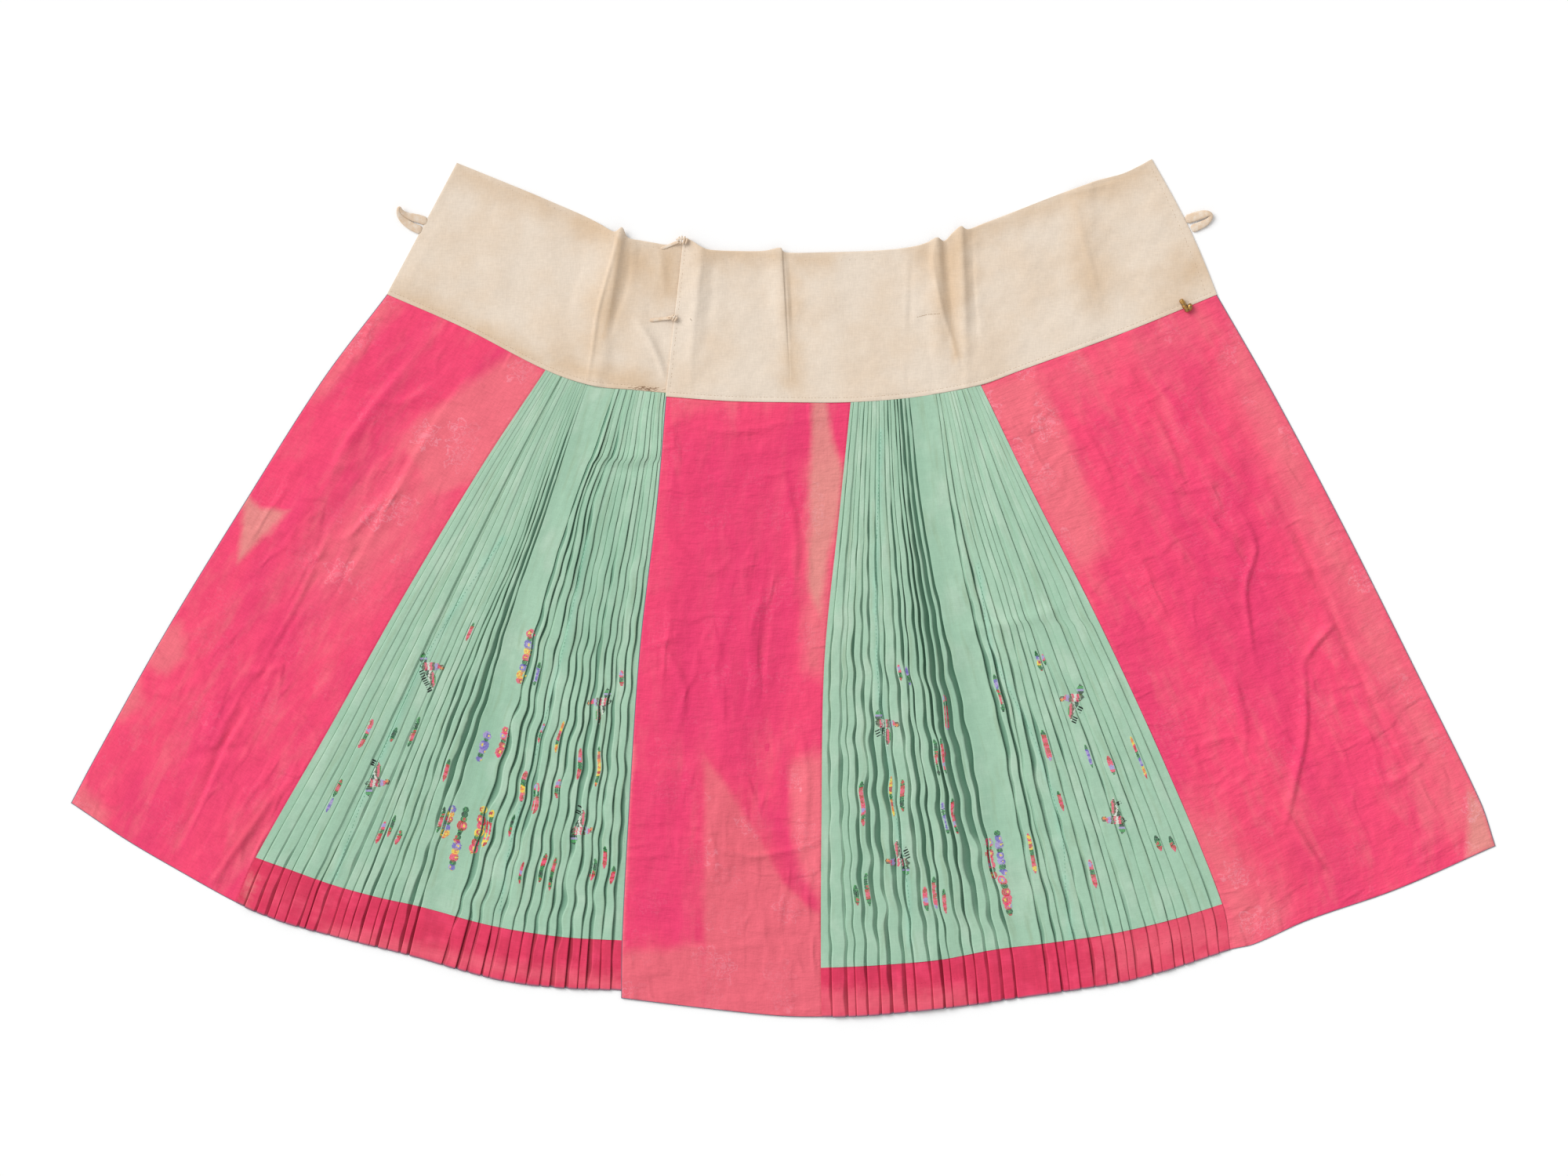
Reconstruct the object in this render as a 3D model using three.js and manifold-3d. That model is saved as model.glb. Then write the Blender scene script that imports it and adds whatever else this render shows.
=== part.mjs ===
// A horse-face skirt laid flat. Two matching halves, each a narrow panel, a pleated gore with a
// hem border and a wide panel, hang from their own waistbands. The right half lies over the left
// half at the centre. Millimetres, +Z up; the origin is under the middle of the laid skirt, on
// the surface it lies on. X runs along the waist, Y from hem to waist.
import * as THREE from 'three';
import { mergeVertices } from 'three/addons/utils/BufferGeometryUtils.js';
import Module from 'manifold-3d';

const wasm = await Module();
wasm.setup();

// Cloth thicknesses and the gap kept at every seam, in mm
const PANEL_WALL = 1.2;
const PLEAT_WALL = 1;
const BAND_WALL = 1.8;
const SEAM_GAP = 0.3;

// How far each edge at a side seam is moved along X: the seams slope, so that a little more than
// half the gap on each side keeps the whole gap between them
const SIDE_SHIFT = SEAM_GAP * 0.6;

// Heights at which the layers of the overlap lie, in mm
const UPPER_PANEL = PANEL_WALL + SEAM_GAP;
const UPPER_BAND = BAND_WALL + SEAM_GAP;

// Knife pleats: the share of a pleat that is tucked under it, and the least tuck, in mm
const TUCK_SHARE = 0.5;
const LEAST_TUCK = 1.3;

// The folds beside each box pleat are puffed up half way down: by how much of their own height,
// and over what share of the gore's width
const BOX_PUFF = 0.9;
const BOX_PUFF_SPREAD = 0.1;

// How far the hidden panel's right edge is from the origin at the waist and the hem, in mm, and
// the strip beyond it over which the upper layers come down to the surface
const HIDDEN_EDGE = { waist: 163, hem: 143 };
const STEP_DOWN = { start: 50, end: 80 };
const BAND_STEP_DOWN = { start: 172, end: 204 };

// The halves' side edges, from waist to hem. down is the share of the length; each edge is its
// distance right of the origin and its distance towards the waist, in mm. The left gore ends at
// the tucked edge, just under the centre panel.
const STATIONS = [
  {
    down: 0,
    leftSide: [-480, 355.7], leftSeam: [-288, 264], tucked: [-139, 236.5], overlap: [-142, 233],
    centerSeam: [81.7, 225], rightSeam: [239.2, 245.5], rightSide: [525.4, 355.3],
  },
  {
    down: 0.18,
    leftSide: [-558, 252.5], leftSeam: [-362, 152.5], tucked: [-150.5, 101.7], overlap: [-153.5, 101.7],
    centerSeam: [68, 91], rightSeam: [298, 124], rightSide: [592, 239],
  },
  {
    down: 0.42,
    leftSide: [-651.5, 105.5], leftSeam: [-455, -1.7], tucked: [-171, -73], overlap: [-174, -73],
    centerSeam: [50, -87.5], rightSeam: [380, -36.5], rightSide: [677, 79],
  },
  {
    down: 0.68,
    leftSide: [-750, -55.5], leftSeam: [-550, -170.5], tucked: [-184, -264], overlap: [-187, -264],
    centerSeam: [46.4, -280.5], rightSeam: [462, -213], rightSide: [764.5, -95.5],
  },
  {
    down: 0.92,
    leftSide: [-835, -207.5], leftSeam: [-639, -326.5], tucked: [-192.5, -427], overlap: [-195.5, -427],
    centerSeam: [45.6, -460], rightSeam: [531.7, -382.7], rightSide: [844.5, -258],
  },
  {
    down: 1,
    leftSide: [-863, -260.5], leftSeam: [-663, -381], tucked: [-193.3, -488], overlap: [-196.3, -497],
    centerSeam: [46.7, -518.7], rightSeam: [541, -438.5], rightSide: [863, -312.6],
  },
];
const BORDER_STATION = 4;
const HEM_STATION = 5;

// Edges that run across the skirt: rows of distance right of the origin and towards the waist
const ACROSS = {
  waistLeft: [
    [-480, 355.7], [-385, 314], [-288, 264], [-232, 245], [-178, 239.5], [-142, 236.5], [-60, 236.5],
    [60, 236], [165, 236],
  ],
  waistRight: [
    [-144, 232], [-68, 226.5], [1, 225], [81, 225], [159, 231], [240, 246], [286, 263], [407, 307],
    [525.4, 355.3],
  ],
  borderLeft: [
    [-639, -326.5], [-595, -342], [-544, -360], [-493, -374], [-439, -386], [-355, -408.5],
    [-273, -422], [-192, -427],
  ],
  borderRight: [
    [45, -460], [110, -457], [190, -450], [255, -438], [321, -430], [401, -418], [473, -401],
    [533, -382.5],
  ],
  hemLeft: [
    [-863, -260.5], [-795, -306], [-737, -340], [-663, -381], [-614, -402], [-548, -421], [-460, -443],
    [-343, -475], [-273, -484], [-192, -488], [-100, -501], [0, -509], [145, -506],
  ],
  hemRight: [
    [-197, -497], [-94, -509.5], [-5, -518.5], [47, -519.6], [115, -516.8], [219, -506], [281, -497],
    [401, -479], [455, -466], [541, -438.5], [571, -431.5], [635, -403], [744, -365], [863, -312.6],
  ],
};

// Pleats of each gore: how many folds lie left and right of the box pleat, and the shares of the
// gore's width between which the box pleat lies, a pair for each station from waist to hem
const GORES = {
  left: {
    leftFolds: 17,
    rightFolds: 15,
    box: [[0.344, 0.565], [0.397, 0.538], [0.43, 0.542], [0.447, 0.55], [0.449, 0.543], [0.447, 0.53]],
  },
  right: {
    leftFolds: 16,
    rightFolds: 16,
    box: [[0.452, 0.655], [0.432, 0.582], [0.459, 0.565], [0.462, 0.563], [0.475, 0.55], [0.48, 0.555]],
  },
};

// Pleats lie three layers deep
const LAYER = PLEAT_WALL + SEAM_GAP;
const PLEAT_TOP = 2 * LAYER + PLEAT_WALL;

// How far the box pleat's face sinks between its two fold edges, in mm
const BOX_FACE = [
  { along: 0.3, sink: 0.5 },
  { along: 0.5, sink: 0.8 },
  { along: 0.7, sink: 0.5 },
];

// The wall of one knife pleat, from the lower layer at the fold edge, round the back fold and up
// to the top layer. Each point is [share of the tuck, walls, height in mm] in from the fold edge.
const TUCK = [
  { outer: [0, 0, PLEAT_WALL], inner: [0, 0, 0] },
  { outer: [1, -1, PLEAT_WALL + SEAM_GAP / 2], inner: [1, 0, 0] },
  { outer: [1, -1, PLEAT_WALL + SEAM_GAP / 2], inner: [1, 0, LAYER + PLEAT_WALL] },
  { outer: [0, 0, LAYER], inner: [0, 1, 2 * LAYER - SEAM_GAP / 2] },
  { outer: [0, 0, PLEAT_TOP], inner: [0, 1, 2 * LAYER - SEAM_GAP / 2] },
  { outer: [1, 0, PLEAT_TOP], inner: [1, 0, 2 * LAYER] },
];

// Waistbands, a row for each fold or flat stretch from left to right: the top edge's place, the
// foot's distance along the waist seam, and how high the cloth is lifted at top and foot, in mm
const BANDS = {
  left: [
    { top: [-395.3, 515], foot: -480, lift: [0, 0] },
    { top: [-355, 498.7], foot: -433, lift: [0, 0] },
    { top: [-314, 482], foot: -385, lift: [0, 0] },
    { top: [-278, 466.8], foot: -335, lift: [0, 0] },
    { top: [-243, 451.6], foot: -288, lift: [0, 1.4] },
    { top: [-222, 441], foot: -258, lift: [1.5, 1.8] },
    { top: [-205, 431.5], foot: -238, lift: [5.5, 3] },
    { top: [-195, 436.5], foot: -226, lift: [9, 5] },
    { top: [-188, 424.5], foot: -215, lift: [3, 2] },
    { top: [-172, 421], foot: -196, lift: [0, 1.6] },
    { top: [-158, 418.5], foot: -178, lift: [0, 1.4] },
    { top: [-141, 416], foot: -160, lift: [0, 0.5] },
    { top: [-119, 418], foot: -142, lift: [0, 0] },
    { top: [-95, 405], foot: -110, lift: [0, 0] },
    { top: [-20, 402], foot: -30, lift: [0, 0] },
    { top: [70, 402], foot: 70, lift: [0, 0] },
    { top: [163, 406], foot: 163, lift: [0, 0] },
  ],
  right: [
    { top: [-120.7, 425.6], foot: -142.5, lift: [3, 2.3] },
    { top: [-109, 419.5], foot: -127, lift: [5.5, 3.2] },
    { top: [-99, 413], foot: -113, lift: [7, 3.8] },
    { top: [-88, 409.5], foot: -100, lift: [5, 3] },
    { top: [-62, 408.2], foot: -68, lift: [2.1, 2.1] },
    { top: [-25, 408.2], foot: -20, lift: [2.3, 2.1] },
    { top: [-4, 412], foot: 6, lift: [6.5, 3.4] },
    { top: [5, 406.3], foot: 16, lift: [3, 2.6] },
    { top: [53, 406.6], foot: 60, lift: [2.1, 2.1] },
    { top: [114, 408.8], foot: 112, lift: [2.1, 2.1] },
    { top: [153, 412.8], foot: 150, lift: [2.2, 2.6] },
    { top: [173, 418], foot: 172, lift: [3, 3] },
    { top: [186, 424.5], foot: 190, lift: [9, 5.5] },
    { top: [195, 420.5], foot: 206, lift: [2.5, 3] },
    { top: [205, 430], foot: 215, lift: [3, 2.6] },
    { top: [215, 438], foot: 223, lift: [9, 5] },
    { top: [224, 434.5], foot: 232, lift: [3, 2.2] },
    { top: [245, 442.5], foot: 248, lift: [0.4, 1.4] },
    { top: [288, 459], foot: 286, lift: [0, 0] },
    { top: [330, 475.5], foot: 330, lift: [0, 0] },
    { top: [366, 488.5], foot: 370, lift: [2.6, 0.6] },
    { top: [382, 494.2], foot: 395, lift: [1, 0.4] },
    { top: [410, 501.5], foot: 440, lift: [0, 0] },
    { top: [430, 510.5], foot: 485, lift: [0, 0] },
    { top: [446.4, 519.6], foot: 525.4, lift: [0, 0] },
  ],
};
const BAND_ROWS = 3;
const BAND_STEPS = 3;
const BAND_END_BULGE = 5;
const BULGED_SHARE = 0.08;

// Soft swells of the flat panels: where each runs from and to, half its width, and its height
const SWELLS = {
  panelLeft: [
    { from: [-470, 300], to: [-655, -30], halfWidth: 52, height: 3.2 },
    { from: [-640, -120], to: [-745, -300], halfWidth: 46, height: 2.6 },
  ],
  panelRight: [
    { from: [430, 280], to: [640, -60], halfWidth: 55, height: 3.4 },
    { from: [580, 160], to: [770, -250], halfWidth: 48, height: 3 },
  ],
  centerPanel: [
    { from: [-20, 60], to: [-110, -430], halfWidth: 52, height: 3 },
    { from: [-130, 190], to: [-165, -380], halfWidth: 34, height: 2.2 },
  ],
};
const PANEL_STEPS = { across: 9, wide: 14, hidden: 5, between: 2 };

// Tape loops at the waistband's two ends: the outline of each, anticlockwise from root to root,
// the two ends of the slit between its strands, and how far the tip curls up, in mm
const LOOPS = {
  left: {
    outline: [
      [-430.9, 448.9], [-444.8, 452.9], [-459.3, 455.5], [-461.7, 461.3], [-464.6, 463.6], [-468.4, 458.5],
      [-467.1, 452.6], [-463.2, 443.8], [-456.4, 436.1], [-449.6, 431.3], [-441.5, 428.9],
    ],
    slit: [[-447.6, 443.3], [-461.7, 453.1]],
    root: [-436, 440],
    curl: 6,
  },
  right: {
    outline: [
      [494.7, 429], [501.9, 431.5], [511.6, 436.3], [518.4, 447.5], [520.3, 453.2], [517.9, 456.2],
      [512, 457.4], [503.4, 457.1], [496.6, 455.2], [484.7, 449.9],
    ],
    slit: [[496, 442], [513.6, 450.2]],
    root: [490, 440],
    curl: 3,
  },
};
const LOOP_WALL = 2;
const LOOP_LENGTH = 36;
const SLIT_WIDTH = 1.3;

// Knotted ties on the overlap's edge: the centre and radii of the gathered knot, and the narrow
// tail that runs from it over the left waistband, in mm
const KNOTS = {
  top: { center: [-121, 420.4, 8.6], radii: [5.2, 4.2, 2.4], tailEnd: [-147, 411.5, 4] },
  mid: { center: [-132.5, 326.8, 7.6], radii: [5, 4.6, 2.4], tailEnd: [-160.5, 324.4, 4] },
};
const TAIL_RADIUS = 1.6;

// Brass toggle button on the waist seam near the right end: its bar and its ball, in mm
const BUTTON = {
  bar: { from: [482.6, 347], to: [488.8, 336.6], radius: 2.9 },
  ball: { center: [492.4, 340], radii: [3.2, 4.8, 3.2] },
};

// Facets of the round pieces, and the steps of each stretch of a tape loop's edge
const ROD = { sides: 8, endSteps: 3 };
const LOOP_EDGE_STEPS = 2;

const COLORS = { pink: '#ee4470', green: '#9ccdb2', cotton: '#e9dccb', brass: '#a9803c' };
const ROUGHNESS = { silk: 0.6, cotton: 0.9, brass: 0.4 };
const BRASS_METALNESS = 0.9;

const { lerp, clamp } = THREE.MathUtils;

// Height across the skirt as a smooth function of the distance along it, through the given rows
function edgeAcross(rows) {
  const slopes = rows.map((row, i) => {
    const before = rows[Math.max(i - 1, 0)];
    const after = rows[Math.min(i + 1, rows.length - 1)];
    return (after[1] - before[1]) / (after[0] - before[0]);
  });
  return (x) => {
    let i = 0;
    while (i < rows.length - 2 && x > rows[i + 1][0]) i += 1;
    const span = rows[i + 1][0] - rows[i][0];
    const t = (x - rows[i][0]) / span;
    const rise = rows[i + 1][1] - rows[i][1];
    const bend = slopes[i] * span - rise;
    const leave = rise - slopes[i + 1] * span;
    return rows[i][1] + t * rise + t * (1 - t) * ((1 - t) * bend + t * leave);
  };
}

const across = Object.fromEntries(Object.entries(ACROSS).map(([name, rows]) => [name, edgeAcross(rows)]));

// A side edge at a station, which may lie between two rows. Free edges are smooth, and seams run
// straight from row to row, so that two neighbours meet.
function sideEdge(name, isFree) {
  const curve = new THREE.CatmullRomCurve3(STATIONS.map((row) => new THREE.Vector3(...row[name], 0)));
  return (station) => {
    if (isFree) {
      const point = curve.getPoint(station / HEM_STATION);
      return [point.x, point.y];
    }
    const i = Math.min(Math.floor(station), HEM_STATION - 1);
    const [from, to] = [STATIONS[i][name], STATIONS[i + 1][name]];
    return [lerp(from[0], to[0], station - i), lerp(from[1], to[1], station - i)];
  };
}

function shareDown(station) {
  const i = Math.min(Math.floor(station), HEM_STATION - 1);
  return lerp(STATIONS[i].down, STATIONS[i + 1].down, station - i);
}

// The hidden panel's right edge
function hiddenEdge(station) {
  const down = shareDown(station);
  const x = lerp(HIDDEN_EDGE.waist, HIDDEN_EDGE.hem, down);
  return [x, lerp(across.waistLeft(x), across.hemLeft(x), down)];
}

// A piece of cloth spread between its left and right edge and its top and foot
function spread({ left, right, top, foot, from, to }) {
  const start = shareDown(from);
  const length = shareDown(to) - start;
  const sag = (edge, station, share) => {
    const [a, b] = [left(station), right(station)];
    return edge(lerp(a[0], b[0], share)) - lerp(a[1], b[1], share);
  };
  return (station, share) => {
    const [a, b] = [left(station), right(station)];
    const down = (shareDown(station) - start) / length;
    const y = lerp(a[1], b[1], share) + (1 - down) * sag(top, from, share) + down * sag(foot, to, share);
    return new THREE.Vector2(lerp(a[0], b[0], share), y);
  };
}

const shifted = (edge, shift) => (station) => [edge(station)[0] + shift, edge(station)[1]];
const lowered = (edge, drop) => (x) => edge(x) - drop;

// How high the layers right of the centre lie over the hidden panel before they come down
function overHiddenPanel(x, y) {
  const waist = across.waistLeft(HIDDEN_EDGE.waist);
  const hem = across.hemLeft(HIDDEN_EDGE.hem);
  const down = clamp((waist - y) / (waist - hem), 0, 1);
  const past = x - lerp(HIDDEN_EDGE.waist, HIDDEN_EDGE.hem, down);
  return UPPER_PANEL * (1 - THREE.MathUtils.smoothstep(past, STEP_DOWN.start, STEP_DOWN.end));
}

function swellAt(x, y, swells) {
  return swells.reduce((height, { from, to, halfWidth, height: top }) => {
    const line = new THREE.Line3(new THREE.Vector3(...from, 0), new THREE.Vector3(...to, 0));
    const point = new THREE.Vector3(x, y, 0);
    const along = line.closestPointToPointParameter(point, false);
    const off = line.closestPointToPoint(point, true, new THREE.Vector3()).distanceTo(point);
    const ends = Math.sin(Math.PI * clamp(along, 0, 1));
    return height + (off < halfWidth ? top * ends * Math.cos((Math.PI / 2) * (off / halfWidth)) ** 2 : 0);
  }, 0);
}

// A wall of cloth as one closed solid. Each section is a row of points across it, and each point
// holds the outer side's vertex and the inner side's vertex.
function clothWall(sections) {
  const places = new Map();
  const vertices = [];
  const triangles = [];
  const vertexOf = (point) => {
    const key = point.toArray().map((value) => value.toFixed(4)).join(' ');
    if (!places.has(key)) {
      places.set(key, vertices.length / 3);
      vertices.push(point.x, point.y, point.z);
    }
    return places.get(key);
  };
  const addTriangle = (...points) => {
    const corners = points.map(vertexOf);
    if (new Set(corners).size === 3) triangles.push(...corners);
  };
  const addQuad = (a, b, c, d) => {
    addTriangle(a, b, c);
    addTriangle(a, c, d);
  };
  const last = sections.length - 1;
  const end = sections[0].length - 1;
  for (let row = 0; row < last; row += 1) {
    const [upper, lower] = [sections[row], sections[row + 1]];
    for (let i = 0; i < end; i += 1) {
      addQuad(upper[i].outer, lower[i].outer, lower[i + 1].outer, upper[i + 1].outer);
      addTriangle(upper[i].inner, lower[i + 1].inner, lower[i].inner);
      addTriangle(upper[i].inner, upper[i + 1].inner, lower[i + 1].inner);
    }
    addQuad(upper[0].outer, upper[0].inner, lower[0].inner, lower[0].outer);
    addQuad(upper[end].inner, upper[end].outer, lower[end].outer, lower[end].inner);
  }
  const [first, final] = [sections[0], sections[last]];
  for (let i = 0; i < end; i += 1) {
    addQuad(first[i].outer, first[i + 1].outer, first[i + 1].inner, first[i].inner);
    addQuad(final[i].inner, final[i + 1].inner, final[i + 1].outer, final[i].outer);
  }
  const geometry = new THREE.BufferGeometry();
  geometry.setAttribute('position', new THREE.Float32BufferAttribute(vertices, 3));
  geometry.setIndex(triangles);
  geometry.computeVertexNormals();
  return geometry;
}

const wallPoint = ({ x, y }, under, wall) => ({
  outer: new THREE.Vector3(x, y, under + wall),
  inner: new THREE.Vector3(x, y, under),
});

// A flat panel from the waist seam to the hem
function flatPanel({ left, right, top, foot, base, swells = [], steps = PANEL_STEPS.across }) {
  const place = spread({ left, right, top, foot, from: 0, to: HEM_STATION });
  const sections = [];
  for (let row = 0; row <= HEM_STATION * PANEL_STEPS.between; row += 1) {
    const section = [];
    for (let i = 0; i <= steps; i += 1) {
      const share = i / steps;
      const point = place(row / PANEL_STEPS.between, share);
      const lift = swellAt(point.x, point.y, swells) * Math.sin(Math.PI * share);
      section.push(wallPoint(point, base(point.x, point.y) + lift, PANEL_WALL));
    }
    sections.push(section);
  }
  return clothWall(sections);
}

// The box pleat's face between its two fold edges, lower in its middle
function boxFace(gore, station, vertex) {
  const [boxFrom, boxTo] = gore.box[station];
  return BOX_FACE.map(({ along, sink }) => {
    const share = lerp(boxFrom, boxTo, along);
    return { outer: vertex(share, PLEAT_TOP - sink), inner: vertex(share, 2 * LAYER - sink) };
  });
}

// The folds of a gore at one station: where each fold edge lies, which way it points, and how
// deep it is tucked
function foldsAt(gore, station, width) {
  const [boxFrom, boxTo] = gore.box[station];
  const leftPleat = boxFrom / gore.leftFolds;
  const rightPleat = (1 - boxTo) / gore.rightFolds;
  const tuckOf = (pleat) => Math.max(LEAST_TUCK, TUCK_SHARE * pleat * width);
  const folds = [];
  for (let i = 1; i <= gore.leftFolds; i += 1) {
    folds.push({ share: leftPleat * i, inward: 1, tuck: tuckOf(leftPleat) });
  }
  for (let i = 0; i < gore.rightFolds; i += 1) {
    folds.push({ share: boxTo + rightPleat * i, inward: -1, tuck: tuckOf(rightPleat) });
  }
  return folds;
}

// A stretch of a pleated gore between two stations
function pleatedGore({ gore, left, right, top, foot, from, to, base }) {
  const place = spread({ left, right, top, foot, from, to });
  const sections = [];
  for (let station = from; station <= to; station += 1) {
    const width = place(station, 1).distanceTo(place(station, 0));
    const down = clamp(shareDown(station) / shareDown(BORDER_STATION), 0, 1);
    const boxMiddle = (gore.box[station][0] + gore.box[station][1]) / 2;
    const vertex = (share, height) => {
      const { x, y } = place(station, share);
      const nearBox = Math.exp(-(((share - boxMiddle) / BOX_PUFF_SPREAD) ** 2));
      const puff = 1 + BOX_PUFF * nearBox * Math.sin(Math.PI * down);
      return new THREE.Vector3(x, y, base(x, y) + height * puff);
    };
    const section = [{ outer: vertex(0, PLEAT_WALL), inner: vertex(0, 0) }];
    for (const [index, { share, inward, tuck }] of foldsAt(gore, station, width).entries()) {
      const placed = ([tucks, walls, height]) => {
        const offset = inward * (tucks * tuck + walls * PLEAT_WALL);
        return vertex(share + offset / width, height);
      };
      const wall = TUCK.map(({ outer, inner }) => ({ outer: placed(outer), inner: placed(inner) }));
      section.push(...(inward > 0 ? wall : wall.reverse()));
      if (index === gore.leftFolds - 1) section.push(...boxFace(gore, station, vertex));
    }
    section.push({ outer: vertex(1, PLEAT_WALL), inner: vertex(1, 0) });
    sections.push(section);
  }
  return clothWall(sections);
}

// A waistband, with its folds, between its top edge and the waist seam
function waistband({ rows, seam, base, endBulge = 0 }) {
  const curveOf = (pick) => new THREE.CatmullRomCurve3(rows.map((row) => new THREE.Vector3(...pick(row))));
  const topCurve = curveOf(({ top, lift }) => [...top, lift[0]]);
  const footCurve = curveOf(({ foot, lift }) => [foot, seam(foot), lift[1]]);
  const columns = (rows.length - 1) * BAND_STEPS;
  const sections = [];
  for (let row = 0; row <= BAND_ROWS; row += 1) {
    const down = row / BAND_ROWS;
    const section = [];
    for (let i = 0; i <= columns; i += 1) {
      const top = topCurve.getPoint(i / columns);
      const foot = footCurve.getPoint(i / columns);
      foot.y = seam(foot.x) + SEAM_GAP / 2;
      const point = top.clone().lerp(foot, down);
      const nearEnd = clamp((i / columns - 1 + BULGED_SHARE) / BULGED_SHARE, 0, 1);
      point.x += endBulge * nearEnd * Math.sin(Math.PI * down);
      section.push(wallPoint(point, Math.max(base(point.x), point.z), BAND_WALL));
    }
    sections.push(section);
  }
  return clothWall(sections);
}

// A loop of tape, slit down its middle, whose tip curls up from the surface
function tapeLoop({ outline, slit, root, curl }) {
  const shape = new THREE.Shape();
  shape.moveTo(...outline[0]);
  shape.splineThru(outline.slice(1).map((point) => new THREE.Vector2(...point)));
  shape.closePath();
  const [slitRoot, slitTip] = slit.map((point) => new THREE.Vector2(...point));
  const side = slitTip.clone().sub(slitRoot).normalize().rotateAround(new THREE.Vector2(), Math.PI / 2);
  side.multiplyScalar(SLIT_WIDTH / 2);
  shape.holes.push(new THREE.Path([slitRoot, slitTip.clone().add(side), slitTip.clone().sub(side)]));
  const options = { depth: LOOP_WALL, bevelEnabled: false, curveSegments: LOOP_EDGE_STEPS };
  const geometry = new THREE.ExtrudeGeometry(shape, options);
  const place = geometry.getAttribute('position');
  for (let i = 0; i < place.count; i += 1) {
    const reach = Math.hypot(place.getX(i) - root[0], place.getY(i) - root[1]) / LOOP_LENGTH;
    place.setZ(i, place.getZ(i) + curl * reach ** 3);
  }
  return geometry;
}

function solidOf(geometry) {
  const loose = geometry.index ? geometry.toNonIndexed() : geometry;
  const bare = new THREE.BufferGeometry();
  bare.setAttribute('position', loose.getAttribute('position'));
  const merged = mergeVertices(bare);
  const vertProperties = merged.getAttribute('position').array;
  const triVerts = new Uint32Array(merged.index.array);
  return new wasm.Manifold(new wasm.Mesh({ numProp: 3, vertProperties, triVerts }));
}

function joined(...geometries) {
  const mesh = geometries.map(solidOf).reduce((whole, solid) => whole.add(solid)).getMesh();
  const geometry = new THREE.BufferGeometry();
  geometry.setAttribute('position', new THREE.BufferAttribute(mesh.vertProperties, 3));
  geometry.setIndex(new THREE.BufferAttribute(mesh.triVerts, 1));
  geometry.computeVertexNormals();
  return geometry;
}

// A round-ended rod from one point to another
function rod(from, to, radius) {
  const [start, end] = [new THREE.Vector3(...from), new THREE.Vector3(...to)];
  const geometry = new THREE.CapsuleGeometry(radius, start.distanceTo(end), ROD.endSteps, ROD.sides);
  const along = end.clone().sub(start).normalize();
  geometry.applyQuaternion(new THREE.Quaternion().setFromUnitVectors(new THREE.Vector3(0, 1, 0), along));
  return geometry.translate(...start.add(end).multiplyScalar(0.5).toArray());
}

function pebble(center, radii) {
  return new THREE.IcosahedronGeometry(1, 1).scale(...radii).translate(...center);
}

function knottedTie({ center, radii, tailEnd }) {
  return joined(pebble(center, radii), rod(tailEnd, center, TAIL_RADIUS));
}

function toggleButton({ bar, ball }) {
  const above = BAND_WALL + SEAM_GAP;
  const onBand = (point, radius) => [...point, above + radius];
  return joined(
    rod(onBand(bar.from, bar.radius), onBand(bar.to, bar.radius), bar.radius),
    pebble(onBand(ball.center, ball.radii[2]), ball.radii),
  );
}

const finish = (color, roughness, metalness = 0) => (
  new THREE.MeshStandardMaterial({ color, roughness, metalness })
);
const pinkSilk = finish(COLORS.pink, ROUGHNESS.silk);
const greenSilk = finish(COLORS.green, ROUGHNESS.silk);
const cotton = finish(COLORS.cotton, ROUGHNESS.cotton);
const brass = finish(COLORS.brass, ROUGHNESS.brass, BRASS_METALNESS);

const skirt = new THREE.Group();
function addPiece(name, geometry, material) {
  const mesh = new THREE.Mesh(geometry, material);
  mesh.name = name;
  skirt.add(mesh);
}

const onSurface = () => 0;

const leftSeam = sideEdge('leftSeam', false);
const tuckedEdge = sideEdge('tucked', false);
const centerSeam = sideEdge('centerSeam', false);
const rightSeam = sideEdge('rightSeam', false);
const waistTop = {
  left: lowered(across.waistLeft, SEAM_GAP / 2),
  right: lowered(across.waistRight, SEAM_GAP / 2),
};

// The left half, which lies on the surface
addPiece('waistband_left', waistband({
  rows: BANDS.left,
  seam: across.waistLeft,
  base: onSurface,
}), cotton);
addPiece('panel_left', flatPanel({
  left: sideEdge('leftSide', true),
  right: shifted(leftSeam, -SIDE_SHIFT),
  top: waistTop.left,
  foot: across.hemLeft,
  base: onSurface,
  swells: SWELLS.panelLeft,
}), pinkSilk);
const goreLeft = {
  gore: GORES.left,
  left: shifted(leftSeam, SIDE_SHIFT),
  right: tuckedEdge,
  base: onSurface,
};
addPiece('gore_left', pleatedGore({
  ...goreLeft,
  top: waistTop.left,
  foot: lowered(across.borderLeft, -SEAM_GAP / 2),
  from: 0,
  to: BORDER_STATION,
}), greenSilk);
addPiece('hem_left', pleatedGore({
  ...goreLeft,
  top: lowered(across.borderLeft, SEAM_GAP / 2),
  foot: across.hemLeft,
  from: BORDER_STATION,
  to: HEM_STATION,
}), pinkSilk);
addPiece('under_panel', flatPanel({
  left: shifted(tuckedEdge, 2 * SIDE_SHIFT),
  right: hiddenEdge,
  top: waistTop.left,
  foot: across.hemLeft,
  base: onSurface,
  steps: PANEL_STEPS.hidden,
}), pinkSilk);

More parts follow.
